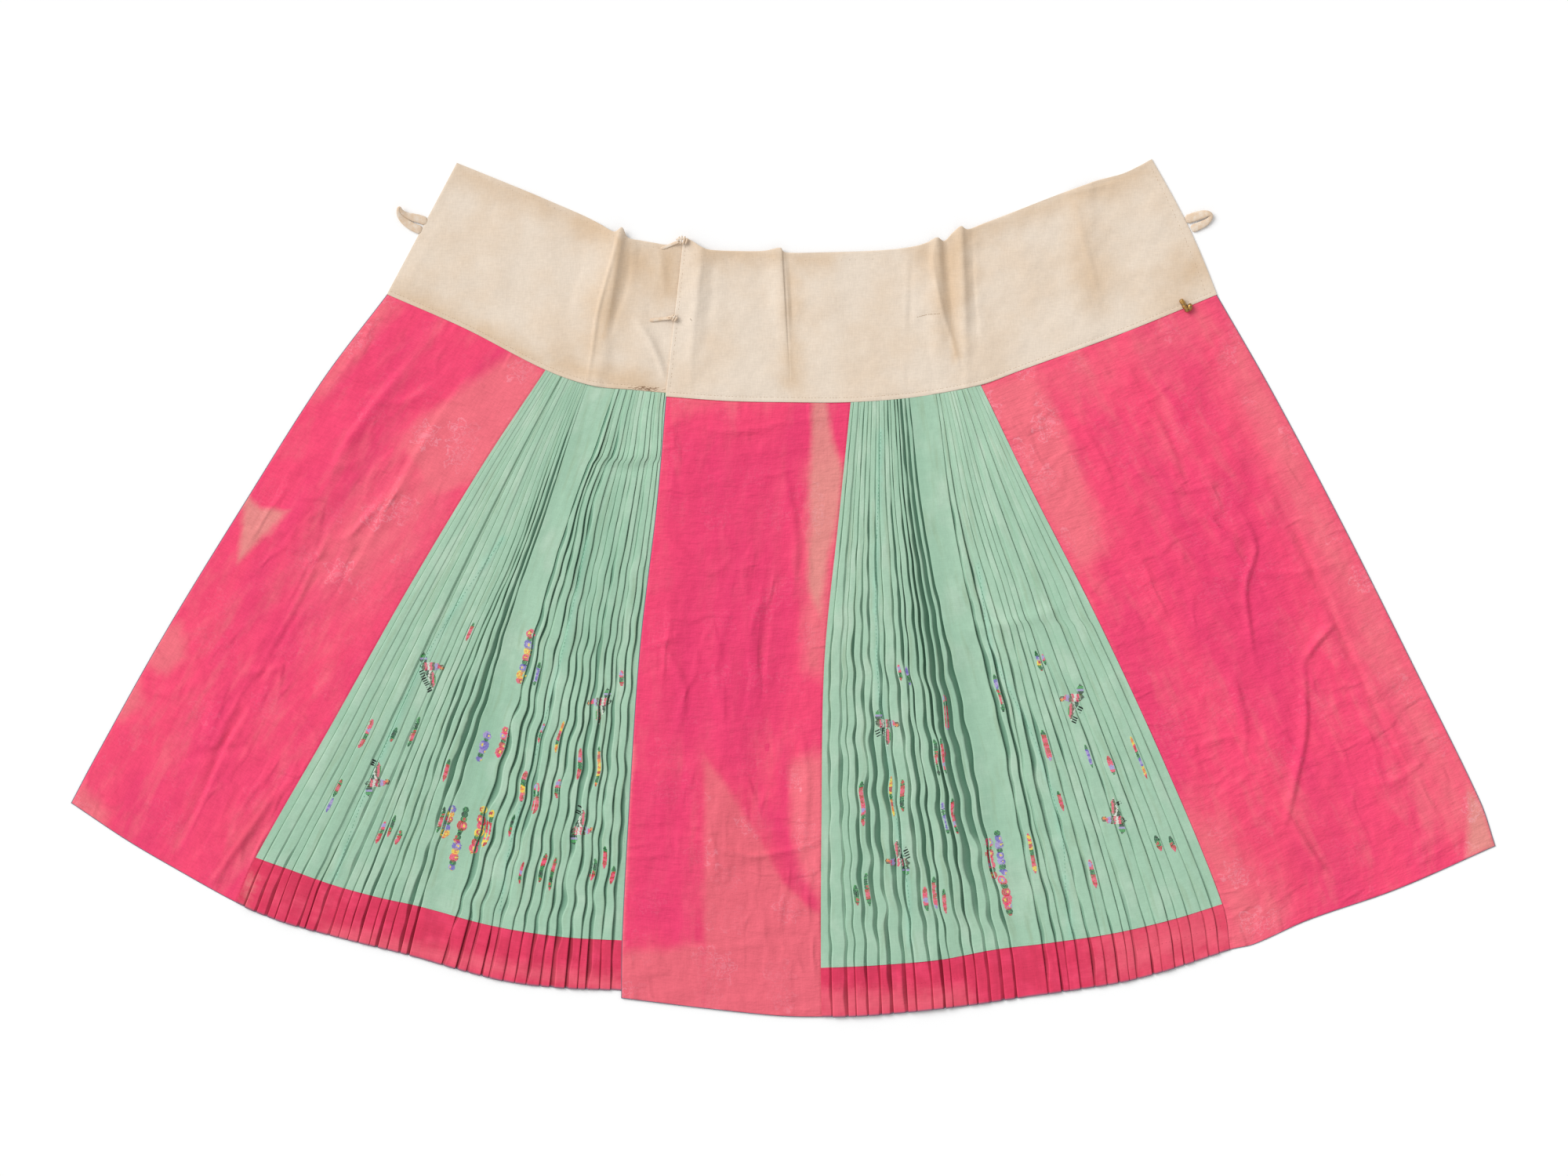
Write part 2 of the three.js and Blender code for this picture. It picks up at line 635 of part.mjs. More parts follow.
// The right half, which lies over the left half's hidden panel and then comes down
const stepDown = (x) => 1 - THREE.MathUtils.smoothstep(x, BAND_STEP_DOWN.start, BAND_STEP_DOWN.end);
const bandBase = (x) => UPPER_BAND * stepDown(x);
addPiece('waistband_right', waistband({
  rows: BANDS.right,
  seam: across.waistRight,
  base: bandBase,
  endBulge: BAND_END_BULGE,
}), cotton);
addPiece('center_panel', flatPanel({
  left: sideEdge('overlap', false),
  right: shifted(centerSeam, -SIDE_SHIFT),
  top: waistTop.right,
  foot: across.hemRight,
  base: () => UPPER_PANEL,
  swells: SWELLS.centerPanel,
}), pinkSilk);
const goreRight = {
  gore: GORES.right,
  left: shifted(centerSeam, SIDE_SHIFT),
  right: shifted(rightSeam, -SIDE_SHIFT),
  base: overHiddenPanel,
};
addPiece('gore_right', pleatedGore({
  ...goreRight,
  top: waistTop.right,
  foot: lowered(across.borderRight, -SEAM_GAP / 2),
  from: 0,
  to: BORDER_STATION,
}), greenSilk);
addPiece('hem_right', pleatedGore({
  ...goreRight,
  top: lowered(across.borderRight, SEAM_GAP / 2),
  foot: across.hemRight,
  from: BORDER_STATION,
  to: HEM_STATION,
}), pinkSilk);
addPiece('panel_right', flatPanel({
  left: shifted(rightSeam, SIDE_SHIFT),
  right: sideEdge('rightSide', true),
  top: waistTop.right,
  foot: across.hemRight,
  base: onSurface,
  swells: SWELLS.panelRight,
  steps: PANEL_STEPS.wide,
}), pinkSilk);

// Loops, knots and the button
addPiece('tie_loop_left', tapeLoop(LOOPS.left), cotton);
addPiece('tie_loop_right', tapeLoop(LOOPS.right), cotton);
addPiece('tie_knot_top', knottedTie(KNOTS.top), cotton);
addPiece('tie_knot_mid', knottedTie(KNOTS.mid), cotton);
addPiece('waist_button', toggleButton(BUTTON), brass);

export default skirt;
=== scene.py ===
# A horse-face skirt laid flat: pink damask panels, two pleated green gores with pink hem borders,
# and two cotton waistbands that overlap at the centre. Each piece is a thin cloth shell on the form
# of its solid in the frame. Tables are in millimetres: distance right of the origin, then distance
# towards the waist.
import math

import bpy
import numpy as np
from bpy.props import FloatProperty, FloatVectorProperty, IntProperty, PointerProperty
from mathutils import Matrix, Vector
from mathutils.bvhtree import BVHTree


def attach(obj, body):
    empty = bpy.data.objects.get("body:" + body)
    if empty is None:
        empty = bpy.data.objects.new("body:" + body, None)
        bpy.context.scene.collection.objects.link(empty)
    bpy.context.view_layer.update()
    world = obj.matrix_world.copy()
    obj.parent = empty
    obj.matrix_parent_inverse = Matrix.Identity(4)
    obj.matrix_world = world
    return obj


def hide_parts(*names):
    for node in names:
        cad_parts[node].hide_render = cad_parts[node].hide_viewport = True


bl_info = {
    "name": "Horse-Face Skirt",
    "version": (1, 0, 0),
    "blender": (4, 5, 0),
    "location": "View3D > Sidebar > Skirt",
    "description": "Dresses the packed frame of a horse-face skirt in silk, cotton and stitching",
    "category": "Object",
}

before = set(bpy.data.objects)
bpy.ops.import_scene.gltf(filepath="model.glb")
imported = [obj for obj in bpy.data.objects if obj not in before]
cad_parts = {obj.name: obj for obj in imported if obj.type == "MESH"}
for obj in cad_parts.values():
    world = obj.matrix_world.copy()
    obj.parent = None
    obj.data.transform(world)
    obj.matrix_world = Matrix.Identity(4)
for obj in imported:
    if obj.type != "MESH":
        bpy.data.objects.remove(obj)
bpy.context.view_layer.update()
bpy.ops.object.select_all(action="DESELECT")

MM = 0.001
BODY = "root"

# Walls of the solids that the shells lie on, and the heights of the overlap's layers
PANEL_WALL = 1.2
BAND_WALL = 1.8
SEAM_GAP = 0.3
LIFT = 0.05

# How far cloth turns down at an edge and over what distance: at a free edge, at a sewn one and at a
# waistband's; between which distances from the edge the facing shows, on a panel and on a hem; and
# the groove of the stitches in a waistband: its depth, its distance from the foot and its width
FREE_EDGE, SEWN_EDGE, BAND_EDGE = (0.9, 2.2), (0.5, 2.5), (0.8, 1.8)
PANEL_FACING, HEM_FACING = (0.4, 1.1), (0.5, 1.4)
BAND_GROOVE = (0.4, 5.7, 1.1)

# How far the fold crests reach past the hem line, and the crest's share that lies on it
HEM_SCALLOP, HEM_EVEN = 1.3, 0.4

# A loom seam: how far its bluer tint reaches, its height and its width
SEAM_TINT, SEAM_RIDGE, SEAM_WIDTH = 5, 0.5, 1.6
UPPER_PANEL = PANEL_WALL + SEAM_GAP
UPPER_BAND = BAND_WALL + SEAM_GAP
HIDDEN_EDGE = (163, 143)
STEP_DOWN = (50, 80)
BAND_STEP_DOWN = (172, 204)
KNOT_SIDES = 10
SMOOTH_ANGLE, PLEAT_SMOOTH_ANGLE = 60, 75

# Distance between the points of the flat panels, where they show and where they are hidden
PANEL_STEP, HIDDEN_STEP = 2.8, 8

# Share of the way down at which a panel's width is measured for its points
WIDTH_ROW = 0.7

# Side edges of the halves at each share of the way down from waist to hem
DOWN = (0, 0.18, 0.42, 0.68, 0.92, 1)
BORDER, HEM = 0.92, 1
SIDES = {
    "left_side": [(-480, 355.7), (-558, 252.5), (-651.5, 105.5), (-750, -55.5), (-835, -207.5),
                  (-863, -260.5)],
    "left_seam": [(-288, 264), (-362, 152.5), (-455, -1.7), (-550, -170.5), (-639, -326.5),
                  (-663, -381)],
    "tucked": [(-139, 236.5), (-150.5, 101.7), (-171, -73), (-184, -264), (-192.5, -427),
               (-193.3, -488)],
    "overlap": [(-142, 233), (-153.5, 101.7), (-174, -73), (-187, -264), (-195.5, -427),
                (-196.3, -497)],
    "center_seam": [(81.7, 225), (68, 91), (50, -87.5), (46.4, -280.5), (45.6, -460),
                    (46.7, -518.7)],
    "right_seam": [(239.2, 245.5), (298, 124), (380, -36.5), (462, -213), (531.7, -382.7),
                   (541, -438.5)],
    "right_side": [(525.4, 355.3), (592, 239), (677, 79), (764.5, -95.5), (844.5, -258),
                   (863, -312.6)],
}

# Edges that run across the skirt
ACROSS = {
    "waist_left": [(-480, 355.7), (-385, 314), (-288, 264), (-232, 245), (-178, 239.5),
                   (-142, 236.5), (-60, 236.5), (60, 236), (165, 236)],
    "waist_right": [(-144, 232), (-68, 226.5), (1, 225), (81, 225), (159, 231), (240, 246),
                    (286, 263), (407, 307), (525.4, 355.3)],
    "border_left": [(-639, -326.5), (-595, -342), (-544, -360), (-493, -374), (-439, -386),
                    (-355, -408.5), (-273, -422), (-192, -427)],
    "border_right": [(45, -460), (110, -457), (190, -450), (255, -438), (321, -430),
                     (401, -418), (473, -401), (533, -382.5)],
    "hem_left": [(-863, -260.5), (-795, -306), (-737, -340), (-663, -381), (-614, -402),
                 (-548, -421), (-460, -443), (-343, -475), (-273, -484), (-192, -488),
                 (-100, -501), (0, -509), (145, -506)],
    "hem_right": [(-197, -497), (-94, -509.5), (-5, -518.5), (47, -519.6), (115, -516.8),
                  (219, -506), (281, -497), (401, -479), (455, -466), (541, -438.5),
                  (571, -431.5), (635, -403), (744, -365), (863, -312.6)],
}

# Pleats of each gore: folds left and right of the box pleat, and the shares of the gore's width
# between which the box pleat lies at each share of the way down
GORES = {
    "left": {
        "folds": (17, 15),
        "box": [(0.344, 0.565), (0.397, 0.538), (0.43, 0.542), (0.447, 0.55), (0.449, 0.543),
                (0.447, 0.53)],
    },
    "right": {
        "folds": (16, 16),
        "box": [(0.452, 0.655), (0.432, 0.582), (0.459, 0.565), (0.462, 0.563), (0.475, 0.55),
                (0.48, 0.555)],
    },
}

# Where pleats stand up more: middle as share of the width from the box pleat's left edge and how
# far that reaches, middle as share of the way down and how far that reaches, and how much higher
PUFFS = {
    "left": [(-0.035, 0.04, 0.34, 0.34, 0.9), (0.19, 0.05, 0.16, 0.16, 0.8), (0.33, 0.2, 0.62, 0.28, 0.4)],
    "right": [(-0.055, 0.055, 0.36, 0.4, 1.3), (-0.22, 0.16, 0.72, 0.26, 0.45),
              (0.14, 0.04, 0.52, 0.3, 0.6)],
}
PUFF_OPENS = 0.3

# Folds that stand wide open: the fold, counted from the box pleat to the left or right of it, where
# along it the gap is widest, how far that reaches each way, and how wide it stands
WIDE_FOLDS = {
    "left": {
        "left": [(1, 0.38, 0.3, 1.0), (2, 0.42, 0.34, 1.1), (3, 0.3, 0.2, 0.7), (5, 0.55, 0.2, 0.6),
                 (8, 0.62, 0.2, 0.5)],
        "right": [(1, 0.16, 0.14, 0.9), (2, 0.22, 0.16, 1.0), (3, 0.6, 0.24, 0.6), (5, 0.16, 0.12, 0.8),
                  (7, 0.62, 0.26, 0.8), (10, 0.55, 0.3, 0.9), (13, 0.7, 0.24, 0.7)],
    },
    "right": {
        "left": [(1, 0.42, 0.4, 1.3), (2, 0.4, 0.36, 1.3), (3, 0.46, 0.34, 1.1), (4, 0.3, 0.3, 0.8),
                 (5, 0.66, 0.24, 1.0), (7, 0.74, 0.2, 0.8), (10, 0.78, 0.16, 0.7), (13, 0.6, 0.22, 0.6)],
        "right": [(1, 0.5, 0.2, 0.8), (2, 0.72, 0.2, 1.0), (4, 0.62, 0.14, 0.8), (8, 0.74, 0.16, 0.4)],
    },
}

# Where down the skirt these gaps narrow towards the hem, and by how much; then where the shade
# inside the closed gaps deepens, from how dark to how dark
NARROWS, NARROWER = (0.74, 0.93), 0.8
DEEPENS, GAP_SHADES = (0.82, 0.93), (0.06, 0.55)

# Where folds swing aside together: middle and reach as shares of the width, middle and reach as
# shares of the way down, and how far the folds move to the right
SWINGS = {
    "left": [(0.63, 0.07, 0.19, 0.07, -7), (0.3, 0.09, 0.3, 0.12, 6), (0.36, 0.08, 0.66, 0.12, -5),
             (0.72, 0.1, 0.5, 0.1, 5)],
    "right": [(0.66, 0.07, 0.4, 0.12, 6), (0.64, 0.06, 0.68, 0.1, -6), (0.3, 0.09, 0.3, 0.12, 3)],
}

# Waves in which the fold edges waver and their gaps open and close: strength, length down the
# skirt and across it, and how fast the wave shifts from fold to fold
WAVERING = ((1, 8.8, 46, 1), (0.5, 15.5, -70, 1.7), (0.3, 5.1, math.inf, 3.1))
GAP_WAVES = ((0.3, 8.8, 46, 1), (0.4, 21, math.inf, 2.7), (0.5, 43, math.inf, 5.3),
             (0.15, 5.7, math.inf, 4.1))

# Where down the skirt the wavering starts and ends, how near a side seam it stops, and the slow
# drift of all folds: its strength, what is added beside the box pleat and how far from it, its
# length and its shift
WAVER_STARTS, WAVER_ENDS, SEAM_HOLDS = (0.12, 0.55), (0.88, 0.925), 0.04
DRIFT, BOX_DRIFT, BOX_REACH, DRIFT_LENGTH, DRIFT_SHIFT = 0.5, 1.8, 0.16, 52, 2.3

# How far single folds differ: shift as a share of the pitch, phase from one to the next, height,
# width of the fall and looseness of the gap
FOLD_SHIFT, PHASE_STEP = 0.22, 0.5
FOLD_HEIGHTS, FALL_WIDTHS, LOOSENESS = (0.8, 1.2), (0.7, 1.3), (0.45, 1.4)

# How far the gaps between folds stand open, a row for each share of the way down
OPENINGS = {
    "left": {
        "shares": (0, 0.2, 0.3, 0.38, 0.56, 0.7, 1),
        "rows": [
            (0.04, 0.05, 0.08, 0.3, 0.4, 0.3, 0.35),
            (0.03, 0.04, 0.08, 0.6, 0.6, 0.3, 0.3),
            (0.03, 0.05, 0.15, 0.8, 0.8, 0.6, 0.55),
            (0.06, 0.12, 0.4, 0.8, 0.8, 0.9, 0.8),
            (0.22, 0.28, 0.4, 0.5, 0.6, 0.65, 0.6),
            (0.35, 0.35, 0.4, 0.45, 0.5, 0.5, 0.5),
        ],
    },
    "right": {
        "shares": (0, 0.2, 0.32, 0.42, 0.6, 0.75, 1),
        "rows": [
            (0.25, 0.35, 0.75, 1.0, 0.3, 0.1, 0.1),
            (0.3, 0.4, 0.8, 1.3, 0.35, 0.1, 0.08),
            (0.35, 0.5, 1.0, 1.4, 0.5, 0.25, 0.12),
            (0.4, 0.7, 1.1, 1.3, 0.6, 0.4, 0.25),
            (0.3, 0.4, 0.5, 0.5, 0.4, 0.3, 0.25),
            (0.35, 0.35, 0.4, 0.4, 0.35, 0.35, 0.35),
        ],
    },
}

# Where the pleats jog aside in a bump: how far up its foot lies, how far up it reaches, from which
# share of the gore's width, and how far the folds move
JOG_BEND = 9
JOGS = {"left": [(150, 66, 0.55, 3.0)], "right": [(-46, 60, 0.66, -2.2)]}

# The section of one pleat, from the cloth under its fold edge, round the edge and over its face:
# share of the pitch from the fold edge, share of the crest's height, and how far inside the gap
# it lies, which sets the painted shade there. The fall is where the face goes down under the next
# fold: share of the fall to go.
ROLL = ((0.15, 0.3, 1.0), (0.0, 0.62, 0.8), (0.022, 0.93, 0.1), (0.07, 1.0, 0.0), (0.14, 1.0, 0.0))
FALL = ((1.2, 0.985, 0.0), (1.0, 0.97, 0.04), (0.88, 0.66, 0.62), (0.3, 0.3, 0.88), (0.0, 0.12, 1.0))
CLOSED_FALL = (1.0, 0.99, 0.95, 0.88, 0.78)
BOX_FACE = ((0.1, 0.03), (0.22, 0.12), (0.34, 0.2), (0.46, 0.18), (0.58, 0.1), (0.7, 0.17), (0.82, 0.1),
            (0.92, 0.03))
TUCK_HEIGHT = 0.35
LOW_CLOTH = 1.1
CREST_PER_PITCH = 0.36
FALL_SHARES = (0.06, 0.42)
TUCK_SHARE = 0.5
LEAST_TUCK = 1.3
LEAST_GAPE, MOST_GAPE = 0.03, 1.35

# Rows of points down a gore and a hem border, and the length that a gore's weave is laid out on
GORE_ROWS, HEM_ROWS = 130, 22
GORE_LENGTH = 750

# Waistbands, a row for each fold or flat stretch: the top edge's place, the foot's distance along
# the waist seam, and how high the cloth is lifted at top and foot
BANDS = {
    "left": [
        ((-395.3, 515), -480, (0, 0)), ((-355, 498.7), -433, (0, 0)), ((-314, 482), -385, (0, 0)),
        ((-278, 466.8), -335, (0, 0)), ((-243, 451.6), -288, (0, 1.4)), ((-222, 441), -258, (1.5, 1.8)),
        ((-205, 431.5), -238, (5.5, 3)), ((-195, 436.5), -226, (7.5, 4)), ((-188, 424.5), -215, (3, 2)),
        ((-172, 421), -196, (0, 1.6)), ((-158, 418.5), -178, (0, 1.4)), ((-141, 416), -160, (0, 0.5)),
        ((-119, 418), -142, (0, 0)), ((-95, 405), -110, (0, 0)), ((-20, 402), -30, (0, 0)),
        ((70, 402), 70, (0, 0)), ((163, 406), 163, (0, 0)),
    ],
    "right": [
        ((-120.7, 425.6), -142.5, (3, 2.3)), ((-109, 419.5), -127, (5.5, 3.2)),
        ((-99, 413), -113, (7, 3.8)), ((-88, 409.5), -100, (5, 3)), ((-62, 408.2), -68, (2.1, 2.1)),
        ((-25, 408.2), -20, (2.3, 2.1)), ((-4, 412), 6, (6.5, 3.4)), ((5, 406.3), 16, (3, 2.6)),
        ((53, 406.6), 60, (2.1, 2.1)), ((114, 408.8), 112, (2.1, 2.1)), ((153, 412.8), 150, (2.2, 2.6)),
        ((173, 418), 172, (3, 3)), ((186, 424.5), 190, (6.5, 3.8)), ((195, 420.5), 206, (2.5, 3)),
        ((205, 430), 215, (3, 2.6)), ((215, 438), 223, (6, 3.2)), ((224, 434.5), 232, (3, 2.2)),
        ((245, 442.5), 248, (0.4, 1.4)), ((288, 459), 286, (0, 0)), ((330, 475.5), 330, (0, 0)),
        ((366, 488.5), 370, (2.6, 0.6)), ((382, 494.2), 395, (1, 0.4)), ((410, 501.5), 440, (0, 0)),
        ((430, 510.5), 485, (0, 0)), ((446.4, 519.6), 525.4, (0, 0)),
    ],
}
BAND_END_BULGE = 5
BAND_DEPTH = 182

# Points of a waistband: between two of its rows, from its top to its foot, and near its edges
POINTS_A_ROW, BAND_ROWS = 11, 46
BAND_EDGE_ROWS = (0.4, 1.0, 1.8, 3.0, 5.5, 7.5)

# Soft swells of the flat panels: from, to, half width, height
SWELLS = {
    "panel_left": [((-470, 300), (-655, -30), 52, 3.2), ((-640, -120), (-745, -300), 46, 2.6)],
    "panel_right": [((430, 280), (640, -60), 55, 3.4), ((580, 160), (770, -250), 48, 3)],
    "center_panel": [((-20, 60), (-110, -430), 52, 3), ((-130, 190), (-165, -380), 34, 2.2)],
}

# Creases: the line each follows, how wide it is on the left and on the right of that line, and how
# high it stands, or how deep it sinks where that is negative
CREASES = {
    "panel_left": [
        ([(-556, 30), (-614, -80), (-674, -185), (-690, -221), (-730, -310)], 3, 12, -1.7),
        ([(-609, -240), (-694, -359)], 9, 5, 1.6),
        ([(-430, 300), (-520, 190), (-560, 110)], 18, 7, 1.3),
        ([(-380, 262), (-440, 170), (-500, 60), (-540, -10)], 14, 6, 1.1),
        ([(-640, 60), (-560, 30), (-500, 50)], 6, 12, -1.1),
        ([(-560, 250), (-470, 225), (-420, 250)], 6, 12, 1.0),
        ([(-700, -60), (-650, -100), (-590, -90)], 5, 12, 0.9),
        ([(-780, -170), (-720, -200), (-640, -190)], 7, 14, -0.9),
        ([(-540, 90), (-590, -20), (-640, -110)], 10, 5, 1.0),
        ([(-470, 120), (-530, 60), (-560, 70)], 5, 9, 0.9),
        ([(-600, 180), (-540, 150), (-500, 160)], 5, 11, 0.8),
        ([(-760, -240), (-700, -290), (-650, -300)], 6, 11, 0.8),
        ([(-590, -150), (-560, -190), (-570, -240)], 4, 9, 0.8),
    ],
    "center_panel": [
        ([(-13, 8), (-20, -48), (-25, -112)], 4, 10, -1.8),
        ([(-194, -296), (-140, -290), (-94, -296)], 4, 8, -1.6),
        ([(-110, -300), (-50, -322), (-20, -322), (47, -308)], 4, 9, 1.7),
        ([(-90, -338), (-66, -343), (-40, -336)], 3, 7, -1.2),
        ([(-120, 200), (-60, 190), (20, 204)], 5, 9, 0.8),
        ([(-140, 60), (-90, 20), (-60, 40)], 5, 10, 0.9),
        ([(-150, -60), (-120, -120), (-128, -180)], 6, 11, 1.0),
        ([(-60, -10), (-80, -90), (-70, -170)], 7, 13, 0.9),
        ([(0, 150), (16, 60), (10, -20)], 6, 12, 1.0),
        ([(20, -160), (30, -240), (22, -330)], 6, 11, 0.9),
        ([(-170, -420), (-100, -436), (-20, -430)], 5, 9, 0.7),
        ([(-190, -60), (-160, -70), (-120, -50)], 4, 8, 0.7),
    ],
    "panel_right": [
        ([(422, 274), (462, 201), (490, 130)], 14, 6, -1.6),
        ([(516, 290), (592, 133), (645, 19), (713, -133), (782, -270)], 4, 10, -1.6),
        ([(301, 243), (350, 146), (398, 44), (452, -60), (500, -170)], 4, 11, -1.8),
        ([(425, 3), (460, -70), (490, -150), (520, -250)], 12, 5, -1.7),
        ([(668, -45), (645, -70), (632, -90)], 2.2, 10, 1.8),
        ([(632, -84), (634, -171), (622, -232), (610, -285), (600, -300)], 2.2, 12, 1.8),
        ([(556, 92), (573, 49), (561, 4), (565, -42), (572, -90)], 2.2, 9, 1.7),
        ([(508, -270), (556, -281), (608, -286)], 3, 8, -2.0),
        ([(614, -277), (640, -320), (664, -350)], 4, 9, 1.8),
        ([(508, 95), (530, 72), (556, 56)], 3, 7, 1.8),
        ([(530, 60), (580, 20), (640, 24), (690, 40)], 5, 12, 1.0),
        ([(440, 160), (480, 120), (530, 130)], 5, 11, 1.0),
        ([(470, 60), (500, 20), (560, 10)], 5, 11, 0.9),
        ([(480, -200), (540, -180), (600, -196)], 5, 12, 1.0),
        ([(660, -180), (700, -250), (716, -330)], 6, 12, -1.0),
        ([(790, -190), (750, -230), (700, -240)], 5, 11, 0.9),
        ([(620, -360), (700, -322), (800, -290)], 5, 9, -0.8),
        ([(360, 200), (390, 150), (400, 120)], 5, 9, 0.9),
        ([(540, -100), (560, -160), (556, -220)], 5, 10, 0.9),
        ([(690, -70), (700, -110), (740, -150)], 6, 12, 0.8),
    ],
    "waistband_left": [
        ([(-197, 437), (-205, 406), (-224, 338), (-231, 290), (-237, 252)], 3, 2, 1.6),
        ([(-187, 424), (-190, 372), (-202, 335), (-214, 290)], 5, 9, -1.5),
        ([(-243, 430), (-252, 380), (-262, 330)], 6, 10, -1.2),
        ([(-180, 326), (-161, 298), (-149, 272), (-143, 252)], 4, 3, 3.0),
        ([(-178, 415), (-164, 390), (-160, 360)], 4, 9, -1.6),
        ([(-166, 345), (-152, 316), (-144, 290)], 3, 7, -1.3),
        ([(-150, 412), (-146, 380), (-143, 350)], 6, 5, 1.1),
        ([(-455, 372), (-380, 500)], 3, 3, 0.5),
        ([(-200, 330), (-212, 290), (-214, 256)], 5, 6, 0.8),
        ([(-330, 460), (-350, 400), (-356, 330)], 18, 26, 0.7),
    ],
    "waistband_right": [
        ([(-98, 413), (-104, 360), (-110, 300), (-113, 240)], 4, 7, 0.9),
        ([(-84, 408), (-88, 350), (-94, 290)], 7, 7, -1.3),
        ([(-4, 413), (2, 400), (5, 360), (8, 300), (10, 250)], 3, 1.6, 1.4),
        ([(5, 406), (9, 370), (12, 300), (14, 256)], 1.6, 5, -1.7),
        ([(151, 413), (148, 320), (145, 228)], 2.5, 2.5, 0.7),
        ([(157, 412), (154, 320), (151, 230)], 3, 4, -0.6),
        ([(187, 426), (181, 396), (193, 335), (208, 290), (214, 262)], 3, 3, 1.2),
        ([(197, 421), (200, 380), (205, 330), (212, 300)], 5, 6, -1.8),
        ([(218, 437), (220, 330), (224, 268)], 7, 9, 0.9),
        ([(228, 434), (231, 360), (236, 290)], 3, 8, -1.2),
        ([(352, 480), (358, 450), (373, 390), (384, 350)], 3, 5, 0.9),
        ([(343, 474), (352, 479), (416, 493), (446, 502)], 3, 3, 0.8),
        ([(300, 455), (296, 400), (300, 320)], 20, 26, 0.7),
        ([(450, 470), (440, 420), (450, 380)], 12, 16, 0.8),
        ([(162, 328), (176, 331), (191, 332)], 2, 3, -0.8),
        ([(60, 400), (56, 330), (60, 250)], 24, 24, 0.6),
    ],
    "gore_left": [
        ([(-232, 166), (-190, 158), (-150, 166)], 7, 12, 3.2),
        ([(-236, 152), (-190, 144), (-152, 150)], 5, 8, -2.2),
        ([(-300, -60), (-240, -46), (-180, -58)], 14, 16, 1.0),
        ([(-330, -160), (-250, -150), (-190, -170)], 14, 16, 0.9),
    ],
    "gore_right": [
        ([(70, 60), (120, 50), (170, 66)], 9, 12, 1.0),
        ([(230, 90), (280, 70), (310, 40)], 10, 10, 0.9),
        ([(60, -60), (120, -76), (180, -60)], 14, 16, 0.9),
        ([(262, -322), (272, -340), (280, -356)], 4, 7, 1.8),
        ([(214, -52), (270, -42), (320, -28), (350, -10)], 5, 10, 2.4),
    ],
}

# Seams that join the loom widths inside each gore
LOOM_SEAMS = {
    "left": [
        [(-340, 60), (-400, -28), (-446, -109), (-488, -206), (-519, -282), (-542, -352)],
        [(-238, 60), (-252, -10), (-267, -76), (-297, -191), (-331, -313), (-343, -391)],
    ],
    "right": [
        [(118, 190), (115, 106), (112, 6), (115, -115), (128, -224), (150, -359), (154, -431)],
        [(236, 30), (243, -22), (252, -78), (306, -188), (328, -257), (339, -308), (343, -377),
         (350, -421)],
    ],
}

# Where the pink has faded: the outline of each place and how soft its edge is
SALMON = {
    "panel_left": [
        ([(-282, 256), (-329, 284), (-407, 228), (-443, 202), (-460, 172), (-425, 110), (-370, 130)], 13),
        ([(-300, 250), (-410, 222), (-500, 140), (-560, 90), (-590, 10), (-520, -40), (-440, 20),
          (-360, 150)], 62, 0.6),
        ([(-480, 352), (-500, 340), (-566, 238), (-556, 232), (-470, 340)], 22),
        ([(-764, -54), (-732, -42), (-724, -84), (-748, -104), (-776, -90)], 12),
        ([(-810, -116), (-784, -108), (-776, -140), (-800, -160)], 12),
        ([(-872, -262), (-846, -245), (-820, -272), (-826, -300)], 14),
    ],
    "center_panel": [
        ([(-96, -201), (-78, -228), (-60, -255), (-33, -301), (1, -355), (40, -390), (56, -398),
          (56, -530), (-96, -530), (-96, -430)], 8),
        ([(-206, -440), (-150, -438), (-96, -430), (-92, -530), (-200, -520)], 14),
        ([(4, -215), (50, -200), (56, -400), (16, -360), (4, -300)], 18),
        ([(28, 150), (76, 150), (60, 30), (52, -110), (20, -100), (22, -20)], 20),
        ([(-142, 250), (30, 250), (30, 222), (-60, 212), (-146, 190)], 20, 0.5),
        ([(-178, -190), (-186, -190), (-202, -440), (-192, -440)], 5),
    ],
    "panel_right": [
        ([(236, 246), (303, 266), (349, 166), (379, 90), (388, 44), (360, 26), (330, 66), (296, 126)], 20),
        ([(540, 350), (600, 240), (690, 70), (780, -110), (880, -310), (800, -290), (740, -150), (650, 10),
          (590, 130), (530, 250)], 44, 0.72),
        ([(478, -262), (520, -290), (610, -392), (560, -450), (536, -440), (520, -360)], 36, 0.9),
        ([(826, -232), (826, -330), (868, -314), (846, -248)], 7),
        ([(250, 262), (420, 312), (520, 352), (546, 300), (440, 262), (320, 220)], 50, 0.55),
    ],
    "hem_left": [
        ([(-640, -320), (-600, -338), (-520, -366), (-540, -430), (-670, -390)], 70, 0.55),
        ([(-560, -404), (-300, -460), (-190, -470), (-190, -495), (-560, -430)], 26),
    ],
    "hem_right": [
        ([(40, -486), (220, -486), (240, -510), (40, -525)], 30),
        ([(380, -410), (540, -376), (548, -440), (390, -486)], 80),
    ],
}
PALE = {
    "panel_left": [([(-652, 116), (-634, 100), (-598, 94), (-622, 66), (-662, 28)], 9)],
    "center_panel": [
        ([(33, 230), (53, 230), (62, 180), (74, 137), (69, 90), (52, 10), (46, -40), (28, 0), (31, 130)], 9),
    ],
    "panel_right": [([(830, -246), (829, -326), (864, -314), (846, -262)], 9)],
    "hem_left": [([(-662, -330), (-622, -340), (-640, -398), (-668, -390)], 24, 0.7)],
}
